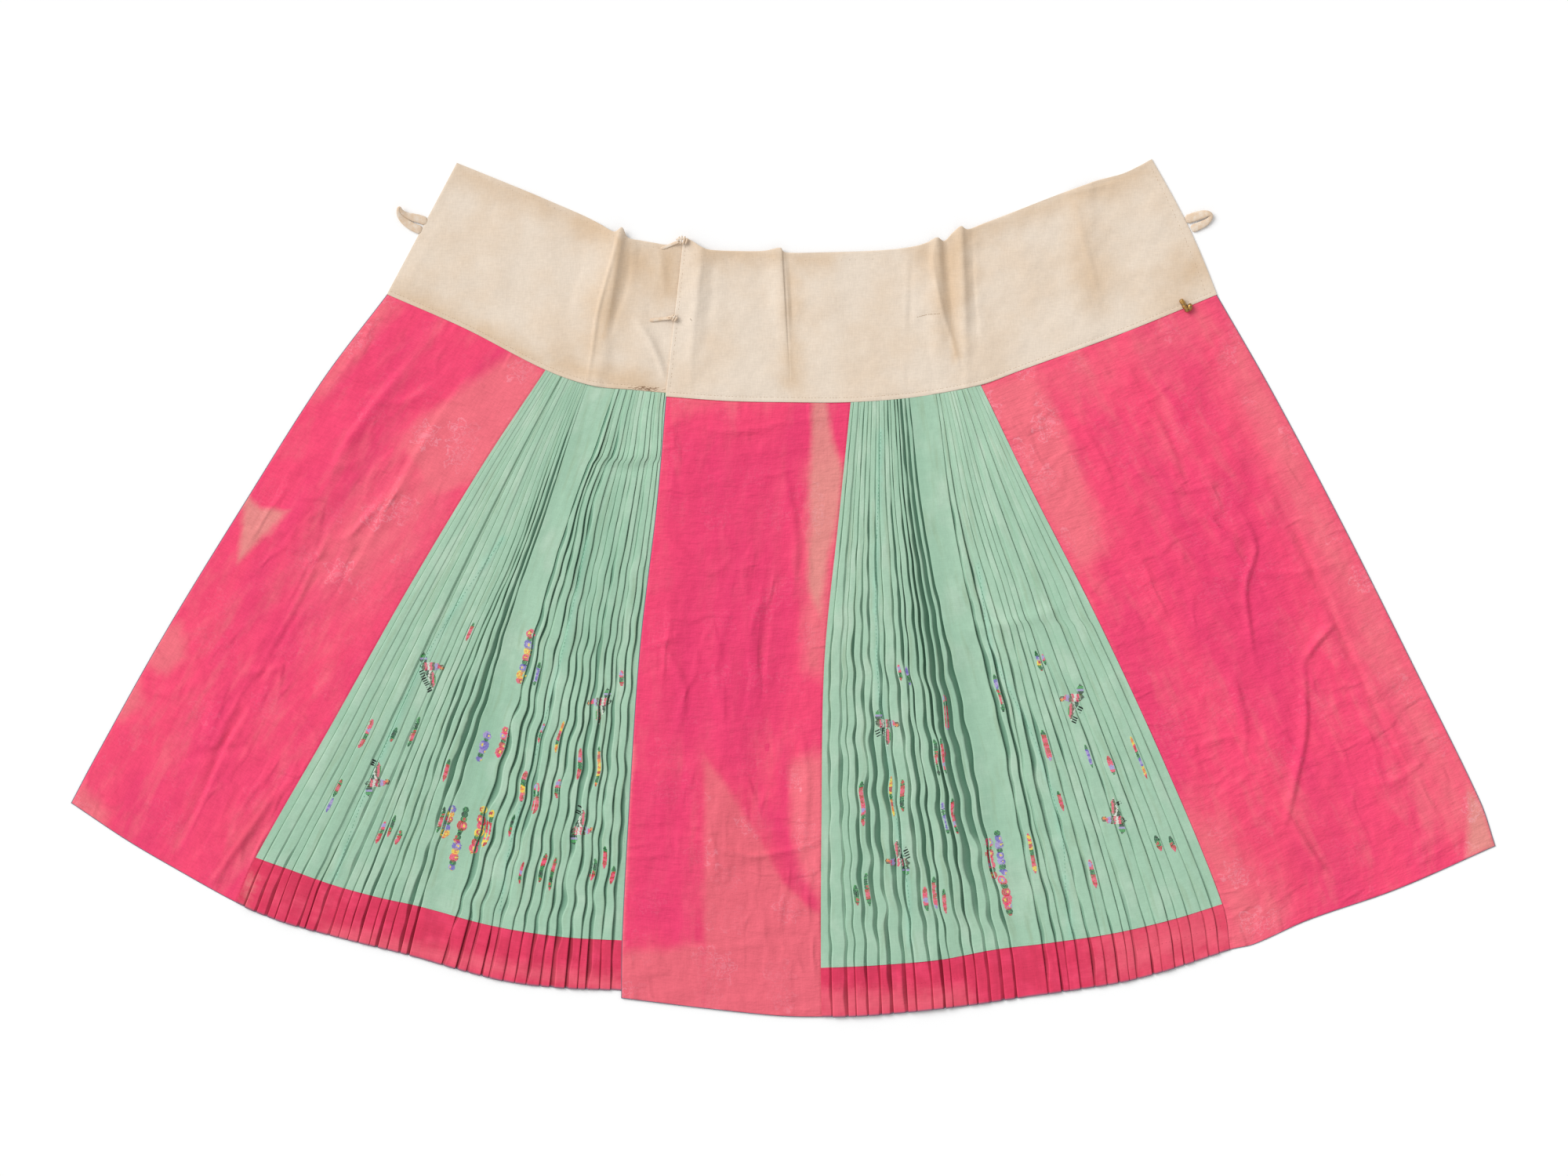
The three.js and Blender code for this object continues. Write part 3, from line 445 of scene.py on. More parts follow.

# Where the gores lie in deeper folds: painted shade, a darker green laid over those places
HOLLOW_SHADE = {
    "gore_left": [
        ([(-262, 226), (-240, 214), (-256, 150), (-300, 60), (-330, -30), (-322, -140), (-330, -250),
          (-350, -330), (-400, -330), (-400, -200), (-392, -120), (-350, -20), (-310, 90)], 34),
        ([(-205, 180), (-196, 226), (-186, 226), (-200, 120), (-214, 20), (-236, 20)], 22),
        ([(-262, 130), (-176, 140), (-172, -40), (-214, -110), (-290, -90)], 40, 0.9),
    ],
    "gore_right": [
        ([(138, 228), (166, 230), (176, 120), (200, 0), (236, -130), (276, -300), (240, -330),
          (190, -200), (150, -80), (146, 60)], 26),
        ([(250, 120), (300, 120), (380, -60), (410, -190), (330, -160), (270, 20)], 40, 0.6),
    ],
}

# Where the pink kept its dye between faded places
DEEP = {
    "center_panel": [
        ([(-6, -184), (8, -190), (9, -350), (-4, -344)], 9),
        ([(-26, -270), (0, -262), (44, -380), (34, -392), (0, -352)], 12),
        ([(-130, 190), (26, 204), (26, 60), (16, -40), (0, -160), (-60, -190), (-170, -220), (-160, 0)], 44),
        ([(-190, -220), (-106, -210), (-106, -420), (-196, -424)], 26),
    ],
    "panel_left": [
        ([(-500, 330), (-350, 282), (-430, 215), (-520, 120), (-600, 90), (-560, 220)], 44, 0.45),
    ],
    "panel_right": [
        ([(395, 171), (480, 180), (554, 120), (530, 42), (420, 30)], 50, 0.55),
        ([(490, 50), (570, 60), (625, -60), (610, -150), (540, -120)], 50, 0.85),
        ([(420, -20), (470, -30), (540, -200), (500, -240), (450, -130)], 44, 0.35),
    ],
}

# Where the faded pink is duller, and the fold at which the left panel is
DUSKY = {
    "center_panel": [
        ([(-104, -186), (60, -396), (60, -530), (-212, -530), (-206, -430), (-104, -430)], 14, 0.45),
    ],
    "panel_right": [
        ([(500, -240), (560, -270), (640, -250), (700, -340), (560, -400), (500, -330)], 40, 0.3),
    ],
}
DUSKY_FOLD = {"panel_left": [(-609, -240), (-694, -359)]}
DUSKY_FOLD_WIDTH = 9

# Tan stains on the cotton, and tan painted shade along the band's folds, mostly in the narrow shapes beside
# the ridges
STAINS_AND_FOLD_SHADE = {
    "waistband_left": [
        ([(-400, 520), (-240, 452), (-200, 436), (-210, 415), (-300, 455), (-395, 495)], 26),
        ([(-206, 430), (-150, 416), (-146, 380), (-190, 350), (-236, 262), (-240, 300)], 26),
        ([(-480, 356), (-400, 318), (-290, 264), (-290, 280), (-400, 338), (-478, 372)], 20),
        ([(-290, 262), (-180, 240), (-150, 238), (-170, 256), (-280, 286)], 22),
        ([(-160, 420), (-120, 418), (-130, 350), (-150, 350)], 22),
        ([(-206, 430), (-188, 424), (-198, 350), (-214, 300), (-224, 300), (-214, 350)], 9),
    ],
    "waistband_right": [
        ([(-110, 420), (0, 410), (60, 402), (60, 390), (-100, 396)], 22),
        ([(0, 410), (14, 404), (16, 250), (8, 250)], 20),
        ([(150, 412), (240, 440), (226, 390), (212, 300), (196, 300), (176, 380)], 24),
        ([(240, 440), (446, 520), (452, 500), (260, 430)], 24),
        ([(340, 474), (360, 478), (392, 340), (370, 340)], 30),
        ([(500, 420), (520, 380), (480, 350), (470, 380)], 36),
        ([(188, 424), (199, 420), (207, 340), (214, 280), (206, 276), (194, 340)], 9),
    ],
}

# Tape loops at the band's ends: the strand's path from root to root, and how high the tip curls
LOOPS = {
    "left": {
        "path": [(-432, 443.6, 1.5), (-440, 446.8, 1.8), (-448, 448.9, 2.3), (-456, 451.6, 3.2),
                 (-461.6, 455.6, 5.2), (-464.6, 460.2, 7.2), (-466, 456.4, 6.2), (-464.4, 450.8, 4.4),
                 (-459.4, 444.8, 2.9), (-451.8, 439.2, 2.1), (-444.2, 435.4, 1.8), (-438.4, 433.2, 1.5)],
        "width": (10.4, 10.2, 9.6, 6.8, 4.8, 3.8, 4.4, 6.4, 8.4, 9.8, 10.2, 10.4),
    },
    "right": {
        "path": [(494.4, 434.6, 1.5), (502.6, 438, 1.8), (510.6, 441.8, 2.1), (516, 446.2, 2.8),
                 (518.2, 450.8, 3.6), (514.4, 453.2, 4.2), (506.6, 452, 3.4), (496.8, 449.2, 2.4),
                 (487.4, 445.8, 1.5)],
        "width": (9.8, 9.4, 8.4, 6.2, 4.8, 7.2, 10.4, 10.8, 10.6),
    },
}
LOOP_THICKNESS = 2.2

# Knotted ties: the knot's centre, the tail that lies on the left band, the loops of tape that are
# wound round the knot, and the folds gathered beside it
KNOTS = {
    "top": {
        "tail": [(-148, 411.2, 2.7), (-141, 413.4, 2.9), (-134, 416.4, 4.0), (-125, 419.6, 7.2)],
        "folds": [((-127.5, 419, 8.0), (-125.6, 425.2, 8.6)), ((-124.4, 416.4, 8.8), (-122.4, 426.2, 9.2)),
                  ((-121.2, 415.6, 9.2), (-118.8, 425.6, 9.2)), ((-118, 416, 8.8), (-115.8, 423.4, 8.4))],
        "wrap": [(-129.5, 421.6, 8.4), (-124, 422.6, 10.2), (-117, 421.2, 9.2)],
    },
    "mid": {
        "tail": [(-161.5, 323.9, 2.7), (-153, 324.9, 2.8), (-145, 325.9, 3.4), (-136, 326.7, 6.2)],
        "folds": [((-137, 325.4, 6.8), (-132.6, 330.8, 7.6)), ((-134.4, 323.4, 7.4), (-130.2, 330.6, 8.0)),
                  ((-131.6, 322.6, 7.4), (-128.2, 328.2, 7.6))],
        "wrap": [(-139.5, 327.9, 6.2), (-135, 328.3, 8.8), (-128, 327.2, 7.8)],
    },
}
TAIL_WIDTH, TAIL_THICKNESS = 3.8, 1.6
FOLD_WIDTH, FOLD_THICKNESS = 2.3, 2.6

# Brass toggle button: the bar's ends, radius and rounding, the ball beside it, and the collar round
# the bar, with its place along it
BUTTON = {
    "bar": ((482.6, 347), (488.8, 336.6)), "radius": 2.9, "rounding": 2.32,
    "ball": (492.4, 340), "ball_radii": (3.2, 4.8, 3.2),
    "collar_at": 0.55, "collar": (2.9, 0.7),
}

# Rows of running stitches: distance from one stitch to the next, its length, width and colour
RUNNING = {
    "waist_seam": (4.2, 2.2, 0.55, "#B59B80"),
    "band_top": (9, 1.4, 0.4, "#B59B80"),
    "band_end": (5.5, 2.0, 0.5, "#B59B80"),
    "mend": (2.2, 2.0, 0.9, "#A58A6E"),
    "knot_end": (2.6, 2.4, 0.8, "#6E5642"),
    "border_seam": (3.2, 1.8, 0.6, "#A9CDB4"),
    "loom_seam": (4.6, 2.4, 0.6, "#4E8E70"),
    "border_facing": (5.0, 1.5, 0.5, "#B03052"),
}
WAIST_SEAMS = (("waist_left", -476, -146), ("waist_right", -138, 520))
BAND_ENDS = (0.28, 23.72)
ABOVE_WAIST, ABOVE_BORDER, BELOW_BORDER = 5.8, 2.6, 26
MEND = [(162, 328), (176, 331.4), (191, 332)]
KNOT_END = [(-113, 326.5), (-109, 321.5)]
FRAYED = {"count": 34, "from": -190, "to": -146, "length": 6, "width": 0.8, "color": "#8A6A50"}

# Embroidery: birds, and sprigs as places, lengths along the pleat and main colours
BIRDS = {
    "left": [(-428, -97, 1, -1), (-494, -234, 1, 1), (-220, -140, -1, -1), (-246, -292, 1, 1)],
    "right": [(123, -166, 1, -1), (141, -330, -1, 1), (352, -135, -1, -1), (403, -279, -1, 1)],
}
SPRIGS = {
    "left": [
        (-381, -55, 25, "pink"), (-311, -82, 70, "mixed"), (-302, -104, 30, "purple"),
        (-499, -180, 40, "pink"), (-466, -182, 20, "green"), (-447, -175, 40, "green"),
        (-362, -191, 40, "purple"), (-340, -188, 40, "pink"), (-409, -218, 30, "pink"),
        (-273, -182, 40, "yellow"), (-295, -173, 25, "pink"), (-246, -216, 40, "pink"),
        (-221, -218, 50, "orange"), (-314, -242, 40, "yellow"), (-302, -252, 40, "pink"),
        (-279, -242, 25, "pink"), (-545, -267, 20, "purple"), (-535, -246, 25, "green"),
        (-489, -297, 30, "pink"), (-476, -288, 30, "green"), (-466, -303, 20, "green"),
        (-417, -279, 35, "green"), (-405, -282, 45, "mixed"), (-389, -285, 50, "green"),
        (-398, -323, 40, "mixed"), (-367, -292, 65, "red"), (-353, -290, 50, "red"),
        (-336, -288, 30, "green"), (-314, -343, 30, "pink"), (-297, -336, 40, "green"),
        (-282, -343, 45, "green"), (-226, -340, 30, "green"), (-211, -328, 30, "pink"),
        (-200, -346, 25, "pink"), (-196, -112, 20, "pink"),
    ],
    "right": [
        (204, -148, 45, "pink"), (186, -202, 45, "green"), (200, -202, 45, "pink"),
        (130, -250, 50, "orange"), (146, -250, 40, "green"), (97, -261, 55, "pink"),
        (212, -276, 45, "pink"), (200, -276, 40, "purple"), (250, -328, 50, "pink"),
        (263, -323, 55, "purple"), (271, -370, 50, "pink"), (299, -323, 50, "red"),
        (365, -345, 35, "pink"), (339, -259, 25, "pink"), (371, -206, 30, "purple"),
        (425, -206, 55, "mixed"), (391, -214, 25, "pink"), (450, -308, 20, "green"),
        (465, -312, 20, "green"), (259, -134, 30, "green"), (314, -192, 40, "pink"),
        (106, -366, 40, "green"), (83, -370, 25, "green"), (176, -377, 30, "pink"),
        (188, -370, 40, "pink"), (204, -377, 30, "pink"), (141, -103, 20, "pink"),
        (153, -108, 25, "purple"), (308, -96, 15, "red"), (303, -81, 15, "purple"),
        (318, -89, 15, "pink"), (253, -117, 20, "purple"),
    ],
}
THREADS = {
    "pink": "#EE4A78", "purple": "#7E62C4", "green": "#3E9A4A", "yellow": "#F2D24A",
    "orange": "#F08A3C", "red": "#C9283C", "black": "#141C18", "white": "#E6E2DC",
    "dark_green": "#1F5C3A", "lilac": "#B49AD8", "brown": "#6A4A3C",
}

# Flowers and leaves of each spray: the thread outside, then the thread inside
SPRAYS = {
    "pink": (("pink", "red"), ("pink", "lilac"), ("green", "dark_green"), ("red", "pink")),
    "purple": (("purple", "lilac"), ("lilac", "purple"), ("green", "dark_green")),
    "green": (("green", "dark_green"), ("dark_green", "black"), ("green", "red"), ("red", "pink")),
    "yellow": (("yellow", "orange"), ("pink", "red"), ("green", "dark_green")),
    "orange": (("orange", "yellow"), ("yellow", "red"), ("green", "dark_green"), ("orange", "red")),
    "red": (("red", "pink"), ("pink", "yellow"), ("yellow", "red"), ("green", "dark_green")),
    "mixed": (("purple", "lilac"), ("yellow", "orange"), ("pink", "red"), ("green", "dark_green")),
}
STITCH_PITCH = 1.25
FILL_LENGTH, FILL_WIDTH = 1.5, 1.375
BOX_SPRIG = 6

# A flying bird that faces right with a wing raised: each part's outline, then its threads by how
# far they lie from the part's middle
BIRD = (
    ([(-5, 1), (3, 3), (7, 10), (7, 18), (3, 26), (1, 19), (-2, 12), (-6, 6)], (24, 12),
     ((19, "green"), (22, "pink"), (24, "brown"), (26, "white"), (60, "black"))),
    ([(-13, -3), (-8, 2), (0, 4), (9, 2), (14, -1), (10, -6), (0, -7), (-9, -7)], (-40, -2),
     ((31, "black"), (34, "brown"), (37, "pink"), (40, "white"), (43, "pink"), (46, "brown"), (50, "lilac"),
      (53, "pink"), (70, "brown"))),
    ([(12, 2), (16, 3), (18, 0), (16, -4), (12, -4)], (14, 0), ((2, "orange"), (40, "brown"))),
    ([(-9, -5), (-4, -7), (-3, -13), (-7, -19), (-11, -16), (-12, -9)], (-8, 20),
     ((27, "green"), (30, "black"), (33, "lilac"), (36, "green"), (60, "black"))),
)
# Feathers: the line they grow from, how many, how far each reaches and how wide it is
WING_EDGE = [(-7, 2), (-5, 9), (-2, 15), (1, 20), (3, 26)]
FEATHERS, FEATHER_REACH, FEATHER_WIDTH = 10, (-6, 3), 2.0

# Camera and key light, in metres but for the sensor's width and the light's angle
SENSOR = 36.0
CAMERA_HEIGHT = 6.0
FIELD = 1.9
CENTER = (0.00095, 0.0)
KEY_PLACE = (-2.0, 1.3, 1.9)
KEY_WIDTH = 42


def linear(hex_color):
    """An sRGB hex colour as linear red, green, blue and alpha."""
    channels = [int(hex_color[i:i + 2], 16) / 255 for i in (1, 3, 5)]
    return tuple(c / 12.92 if c <= 0.04045 else ((c + 0.055) / 1.055) ** 2.4 for c in channels) + (1.0,)


def length_property(name, description, default):
    return FloatProperty(name=name, description=description, default=default, min=0, unit="LENGTH")


def color_property(name, description, hex_color):
    return FloatVectorProperty(
        name=name, description=description, default=linear(hex_color), size=4, min=0, max=1, subtype="COLOR"
    )


class SkirtClothSizes(bpy.types.PropertyGroup):
    """Sizes of the cloth that the pieces are made of"""

    panel_cloth: length_property("Panel cloth", "Thickness of the lined silk panels", 0.0007)
    pleat_cloth: length_property("Pleat cloth", "Thickness of the pleated silk", 0.0004)
    band_cloth: length_property("Band cloth", "Thickness of the folded cotton waistbands", 0.0014)
    crest: length_property("Pleat height", "Height to which the green pleats stand", 0.0034)
    hem_crest: length_property("Border pleat height", "Height of the pleats in the hem borders", 0.0027)
    wave: length_property("Pleat wave", "How far the pleats waver from side to side", 0.0011)
    ripple: length_property("Ripple", "Height of the soft unevenness of the flat cloth", 0.0005)


class SkirtSilkColors(bpy.types.PropertyGroup):
    """Colours of the silks"""

    pink: color_property("Pink", "Damask where it kept its dye", "#EE466E")
    deep_pink: color_property("Deep pink", "Damask in its deepest patches", "#DE3569")
    salmon: color_property("Salmon", "Damask where it faded", "#E96C7A")
    pale: color_property("Pale", "Damask where it faded most", "#DA8D85")
    border: color_property("Border", "Plain silk of the hem borders", "#D23457")
    # Painted shade: the deep red that the border silk is given inside its folds
    border_fold_shade: color_property("Border folds", "Border silk inside its folds", "#7E0A1E")
    green: color_property("Green", "Plain silk of the gores", "#A2C4AB")
    light_green: color_property("Light green", "Gore silk where it is palest", "#B3CDB7")
    dull_green: color_property("Dull green", "Gore silk where it is soiled", "#9BB599")
    # Painted shade: the dark green that the gore silk is given inside its folds
    green_fold_shade: color_property("Green folds", "Gore silk inside its folds", "#4A7A61")
    dusky: color_property("Dusky", "Damask where the faded pink is dull", "#C9485C")
    seam_green: color_property("Seam green", "Gore silk beside the loom-width seams", "#8ACBB4")
    # Painted shade of the deep folds; towards the hem partly painted shade and partly soil
    shade_and_soil_green: color_property("Hollow green", "Gore silk where it lies in deep folds", "#6FA387")
    facing: color_property("Facing", "Blue-grey facing that shows along the hem", "#5C6272")


class SkirtTrimColors(bpy.types.PropertyGroup):
    """Colours of the cotton, tape and brass"""

    cream: color_property("Cream", "Waistband cotton", "#E1D2C1")
    warm: color_property("Warm cream", "Waistband cotton where it yellowed", "#DCC6AE")
    # Tan of the stains, also used as painted shade along the waistband's folds
    tan: color_property("Tan", "Stains of the waistband", "#CDAE8B")
    tape: color_property("Tape", "Tie loops and knots", "#D9C1A8")
    brass: color_property("Brass", "Bar of the toggle button", "#8F7650")
    brass_worn: color_property("Worn brass", "Rubbed places of the toggle button", "#C2924C")


class SkirtStage(bpy.types.PropertyGroup):
    """Surface and lights"""

    floor: color_property("Surface", "Colour of the surface under the skirt", "#F6F6F6")
    sky: FloatProperty(name="Room light", description="Strength of the even light", default=0.6, min=0)
    key: FloatProperty(name="Key light", description="Strength of the key light", default=2.5, min=0)
    stitches: IntProperty(name="Seed", description="Seed of the small irregularities", default=7, min=0)


# Curves and places


def smooth_through(knots, values):
    """A smooth function through the values at the knots."""
    knots, values = np.asarray(knots, float), np.asarray(values, float)
    last = len(knots) - 1
    before = np.maximum(np.arange(last + 1) - 1, 0)
    after = np.minimum(np.arange(last + 1) + 1, last)
    reach = (knots[after] - knots[before]).reshape((-1,) + (1,) * (values.ndim - 1))
    slopes = (values[after] - values[before]) / reach

    def at(place):
        place = np.asarray(place, float)
        i = np.clip(np.searchsorted(knots, place, side="right") - 1, 0, last - 1)
        span = knots[i + 1] - knots[i]
        t = (place - knots[i]) / span
        if values.ndim > 1:
            span, t = span[..., None], t[..., None]
        rise = values[i + 1] - values[i]
        bend = slopes[i] * span - rise
        leave = rise - slopes[i + 1] * span
        return values[i] + t * rise + t * (1 - t) * ((1 - t) * bend + t * leave)

    return at


def smoothstep(value, start, end):
    t = np.clip((value - start) / (end - start), 0, 1)
    return t * t * (3 - 2 * t)


def mix(a, b, share):
    return a + (b - a) * share


side = {name: smooth_through(DOWN, rows) for name, rows in SIDES.items()}
across = {
    name: smooth_through([row[0] for row in rows], [row[1] for row in rows]) for name, rows in ACROSS.items()
}


def hidden_edge(down):
    """The hidden panel's right edge."""
    x = mix(HIDDEN_EDGE[0], HIDDEN_EDGE[1], np.asarray(down, float))
    return np.stack([x, mix(across["waist_left"](x), across["hem_left"](x), down)], axis=-1)


side["hidden"] = hidden_edge


def spread(left, right, top, foot, start, end):
    """Places on a piece of cloth between two side edges, a top edge and a foot."""

    def chord(down, share):
        a, b = side[left](down), side[right](down)
        return mix(a[..., 0], b[..., 0], share), mix(a[..., 1], b[..., 1], share)

    def place(down, share):
        x, y = chord(down, share)
        part = (down - start) / (end - start)
        top_x, top_y = chord(np.full_like(share, start), share)
        foot_x, foot_y = chord(np.full_like(share, end), share)
        y = y + (1 - part) * (across[top](top_x) - top_y) + part * (across[foot](foot_x) - foot_y)
        return x, y

    return place


def line_at(x, y, points):
    """How far each place is from a line of points, negative on the line's left, and how far along it."""
    points = np.asarray(points, float)
    lengths = np.linalg.norm(np.diff(points, axis=0), axis=1)
    before = np.concatenate([[0], np.cumsum(lengths)])
    best = np.full(x.shape, 1e9)
    along = np.zeros(x.shape)
    sign = np.ones(x.shape)
    for (ax, ay), (bx, by), start, length in zip(points[:-1], points[1:], before, lengths):
        dx, dy = (bx - ax) / length, (by - ay) / length
        raw = (x - ax) * dx + (y - ay) * dy
        t = np.clip(raw, 0, length)
        off_x, off_y = x - ax - t * dx, y - ay - t * dy
        off = np.hypot(off_x, off_y)
        nearer = off < best
        best = np.where(nearer, off, best)
        along = np.where(nearer, (start + t) / before[-1], along)
        sign = np.where(nearer, np.sign(dy * off_x - dx * off_y), sign)
    return best * np.where(sign == 0, 1, sign), along


def inside(x, y, outline):
    """How far inside a closed outline each place lies, negative outside."""
    points = list(outline) + [outline[0]]
    off, _ = line_at(x, y, points)
    crossed = np.zeros(x.shape, bool)
    for (ax, ay), (bx, by) in zip(points[:-1], points[1:]):
        if ay != by:
            at = ax + (y - ay) * (bx - ax) / (by - ay)
            crossed ^= ((ay > y) != (by > y)) & (x < at)
    return np.where(crossed, np.abs(off), -np.abs(off))


def covered(x, y, shapes):
    """From 0 to 1, how far each place is within any of the soft-edged shapes, each given as its
    outline, how soft its edge is and, where it is faint, its strength."""
    share = np.zeros(x.shape)
    for outline, softness, *strength in shapes:
        within = np.clip(0.5 + inside(x, y, outline) / (2 * softness), 0, 1)
        share = np.maximum(share, within * (strength[0] if strength else 1))
    return share


def creased(x, y, creases, narrow=1.0, tall=1.0):
    """Height of the given creases, all of them narrower or taller where asked."""
    height = np.zeros(x.shape)
    for points, left, right, top in creases:
        curve = smooth_through(np.linspace(0, 1, len(points)), points)
        off, along = line_at(x, y, curve(np.linspace(0, 1, 4 * len(points))))
        width = np.where(off < 0, left, right) * narrow
        ends = np.sin(np.pi * np.clip(along, 0.02, 0.98)) ** 0.6
        height += tall * top * np.exp(-((off / width) ** 2)) * ends
    return height


def swollen(x, y, swells):
    height = np.zeros(x.shape)
    for start, end, half_width, top in swells:
        off, along = line_at(x, y, [start, end])
        rise = np.cos(np.pi / 2 * np.clip(np.abs(off) / half_width, 0, 1)) ** 2
        height += top * rise * np.sin(np.pi * along)
    return height


def rippled(x, y, seed, length, count=9):
    """Soft unevenness from a few slanting waves, from about -1 to 1."""
    chance = np.random.default_rng(seed)
    height = np.zeros(x.shape)
    for _ in range(count):
        angle = chance.uniform(0, np.pi)
        wave = 2 * np.pi / (length * chance.uniform(0.6, 1.7))
        height += np.sin(wave * (x * np.cos(angle) + y * np.sin(angle)) + chance.uniform(0, 2 * np.pi))
    return height / math.sqrt(count)


def over_hidden_panel(x, y):
    """Height of the layers right of the centre over the hidden panel."""
    waist, hem = across["waist_left"](HIDDEN_EDGE[0]), across["hem_left"](HIDDEN_EDGE[1])
    down = np.clip((waist - y) / (waist - hem), 0, 1)
    past = x - mix(HIDDEN_EDGE[0], HIDDEN_EDGE[1], down)
    return UPPER_PANEL * (1 - smoothstep(past, *STEP_DOWN))


def on_surface(x, y=None):
    return np.zeros(x.shape)


def on_hidden_panel(x, y):
    return np.full(x.shape, UPPER_PANEL)


def on_left_band(x):
    return UPPER_BAND * (1 - smoothstep(x, *BAND_STEP_DOWN))


def humps(rows, share, down):
    """The sum of soft humps, each given by its middle and reach across and down, and its height."""
    total = np.zeros(share.shape)
    for share_at, share_reach, down_at, down_reach, height in rows:
        beside, along = (share - share_at) / share_reach, (down - down_at) / down_reach
        total += height * np.exp(-beside**2 - along**2)
    return total


def waves(rows, x, y, phase):
    """The sum of waves, each given by its strength, its lengths down and across, and its shift."""
    return sum(rise * np.sin(y / down + x / aside + shift * phase) for rise, down, aside, shift in rows)


def even_with_edges(count, length, edges=(0.5, 1.1, 1.9, 3.2)):
    """Even steps from 0 to 1, with finer ones near both ends."""
    fine = np.array(edges) / length
    return np.unique(np.round(np.concatenate([np.linspace(0, 1, count), fine, 1 - fine]), 6))


def edge_distances(share, width, down, length):
    """How far each place on a piece of cloth is from its four edges."""
    from_left, from_top = share * width, down * length
    return {"left": from_left, "right": width - from_left, "top": from_top, "foot": length - from_top}


# Meshes


def cloth_grid(name, points, marks, flat=None):
    """A grid, moved to the given rows of places from top to foot, with a mark for each vertex."""
    rows, columns = points.shape[:2]
    bpy.ops.object.select_all(action="DESELECT")
    bpy.ops.mesh.primitive_grid_add(x_subdivisions=columns - 1, y_subdivisions=rows - 1, size=1)
    piece = bpy.context.active_object
    piece.name = name
    mesh = piece.data
    mesh.name = name
    upward = points[::-1] * MM
    mesh.vertices.foreach_set("co", upward.astype(np.float32).ravel())
    for mark, values in marks.items():
        layer = mesh.attributes.new(mark, "FLOAT", "POINT")
        layer.data.foreach_set("value", values[::-1].astype(np.float32).ravel())
    if flat is None:
        flat = points[..., :2]
    corner = np.zeros(len(mesh.loops), np.int32)
    mesh.loops.foreach_get("vertex_index", corner)
    cloth = (flat[::-1] * MM).reshape(-1, 2)[corner]
    mesh.uv_layers[0].data.foreach_set("uv", cloth.astype(np.float32).ravel())
    mesh.update()
    return piece


def make_active(piece):
    bpy.ops.object.select_all(action="DESELECT")
    piece.select_set(True)
    bpy.context.view_layer.objects.active = piece


def thicken(piece, thickness, angle=SMOOTH_ANGLE):
    """Gives a sheet its thickness below the side that shows, and smooths it."""
    make_active(piece)
    wall = piece.modifiers.new("Wall", "SOLIDIFY")
    wall.thickness = thickness
    wall.offset = -1
    bpy.ops.object.modifier_apply(modifier=wall.name)
    bpy.ops.object.shade_smooth_by_angle(angle=math.radians(angle))


def finish_piece(piece, material, node=None):
    piece.data.materials.clear()
    piece.data.materials.append(material)
    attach(piece, BODY)
    if node:
        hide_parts(node)


def lay(piece, cut):
    """Takes the width, length and area of a cut in metres, and does nothing with them."""
    width, length, area = cut


def mesh_piece(name, vertices, faces):
    """A mesh object from vertices in millimetres."""
    mesh = bpy.data.meshes.new(name)
    mesh.from_pydata([tuple(v * MM for v in vertex) for vertex in vertices], [], faces)
    mesh.update()
    piece = bpy.data.objects.new(name, mesh)
    bpy.context.scene.collection.objects.link(piece)
    return piece


def tape(path, widths, thickness, steps=5, sides=KNOT_SIDES):
    """Vertices and faces of a flat, round-edged tape along a path, closed at both ends."""
    path = np.asarray(path, float)
    widths = np.broadcast_to(widths, len(path))
    knots = np.arange(len(path))
    at = np.linspace(0, len(path) - 1, (len(path) - 1) * steps + 1)
    line = smooth_through(knots, path)(at)
    width = smooth_through(knots, widths)(at)
    along = np.gradient(line, axis=0)
    along /= np.linalg.norm(along, axis=1)[:, None]
    aside = np.cross(along, (0, 0, 1))
    aside /= np.linalg.norm(aside, axis=1)[:, None]
    up = np.cross(aside, along)
    ends = np.sqrt(np.clip(np.minimum(np.arange(len(at)), np.arange(len(at))[::-1]) / 1.5, 0.35, 1))
    turns = np.linspace(0, 2 * np.pi, sides, endpoint=False)
    vertices, faces = [], []
    for place, out, rise, wide, end in zip(line, aside, up, width, ends):
        for turn in turns:
            across_tape = np.sign(np.cos(turn)) * abs(np.cos(turn)) ** 0.7 * wide / 2 * end
            through = np.sign(np.sin(turn)) * abs(np.sin(turn)) ** 0.8 * thickness / 2 * end
            vertices.append(place + out * across_tape + rise * through)
    for ring in range(len(at) - 1):
        here, after = ring * sides, (ring + 1) * sides
        for i in range(sides):
            j = (i + 1) % sides
            faces.append((here + i, here + j, after + j, after + i))
    last = (len(at) - 1) * sides
    faces.append(tuple(range(sides))[::-1])
    faces.append(tuple(last + i for i in range(sides)))
    return vertices, faces


def joined(shapes):
    """One list of vertices and one of faces from several."""
    vertices, faces = [], []
    for points, polygons in shapes:
        start = len(vertices)
        vertices.extend(points)
        faces.extend(tuple(start + i for i in polygon) for polygon in polygons)
    return vertices, faces


def outward(piece):
    """Turns the faces outwards and smooths them."""
    make_active(piece)
    bpy.ops.object.mode_set(mode="EDIT")
    bpy.ops.mesh.select_all(action="SELECT")
    bpy.ops.mesh.normals_make_consistent(inside=False)
    bpy.ops.object.mode_set(mode="OBJECT")
    bpy.ops.object.shade_smooth_by_angle(angle=math.radians(SMOOTH_ANGLE))


def surface_of(*pieces):
    """Looks straight down on pieces: the height in millimetres at a place, or None."""
    depsgraph = bpy.context.evaluated_depsgraph_get()
    trees = [BVHTree.FromObject(piece, depsgraph) for piece in pieces]

    def height(x, y):
        hits = [tree.ray_cast(Vector((x * MM, y * MM, 0.1)), Vector((0, 0, -1)))[0] for tree in trees]
        hits = [hit.z / MM for hit in hits if hit is not None]
        return max(hits) if hits else None

    return height


# Materials

PETALS = 6
FIGURE_TINT = (1.0, 0.66, 0.8, 1.0)


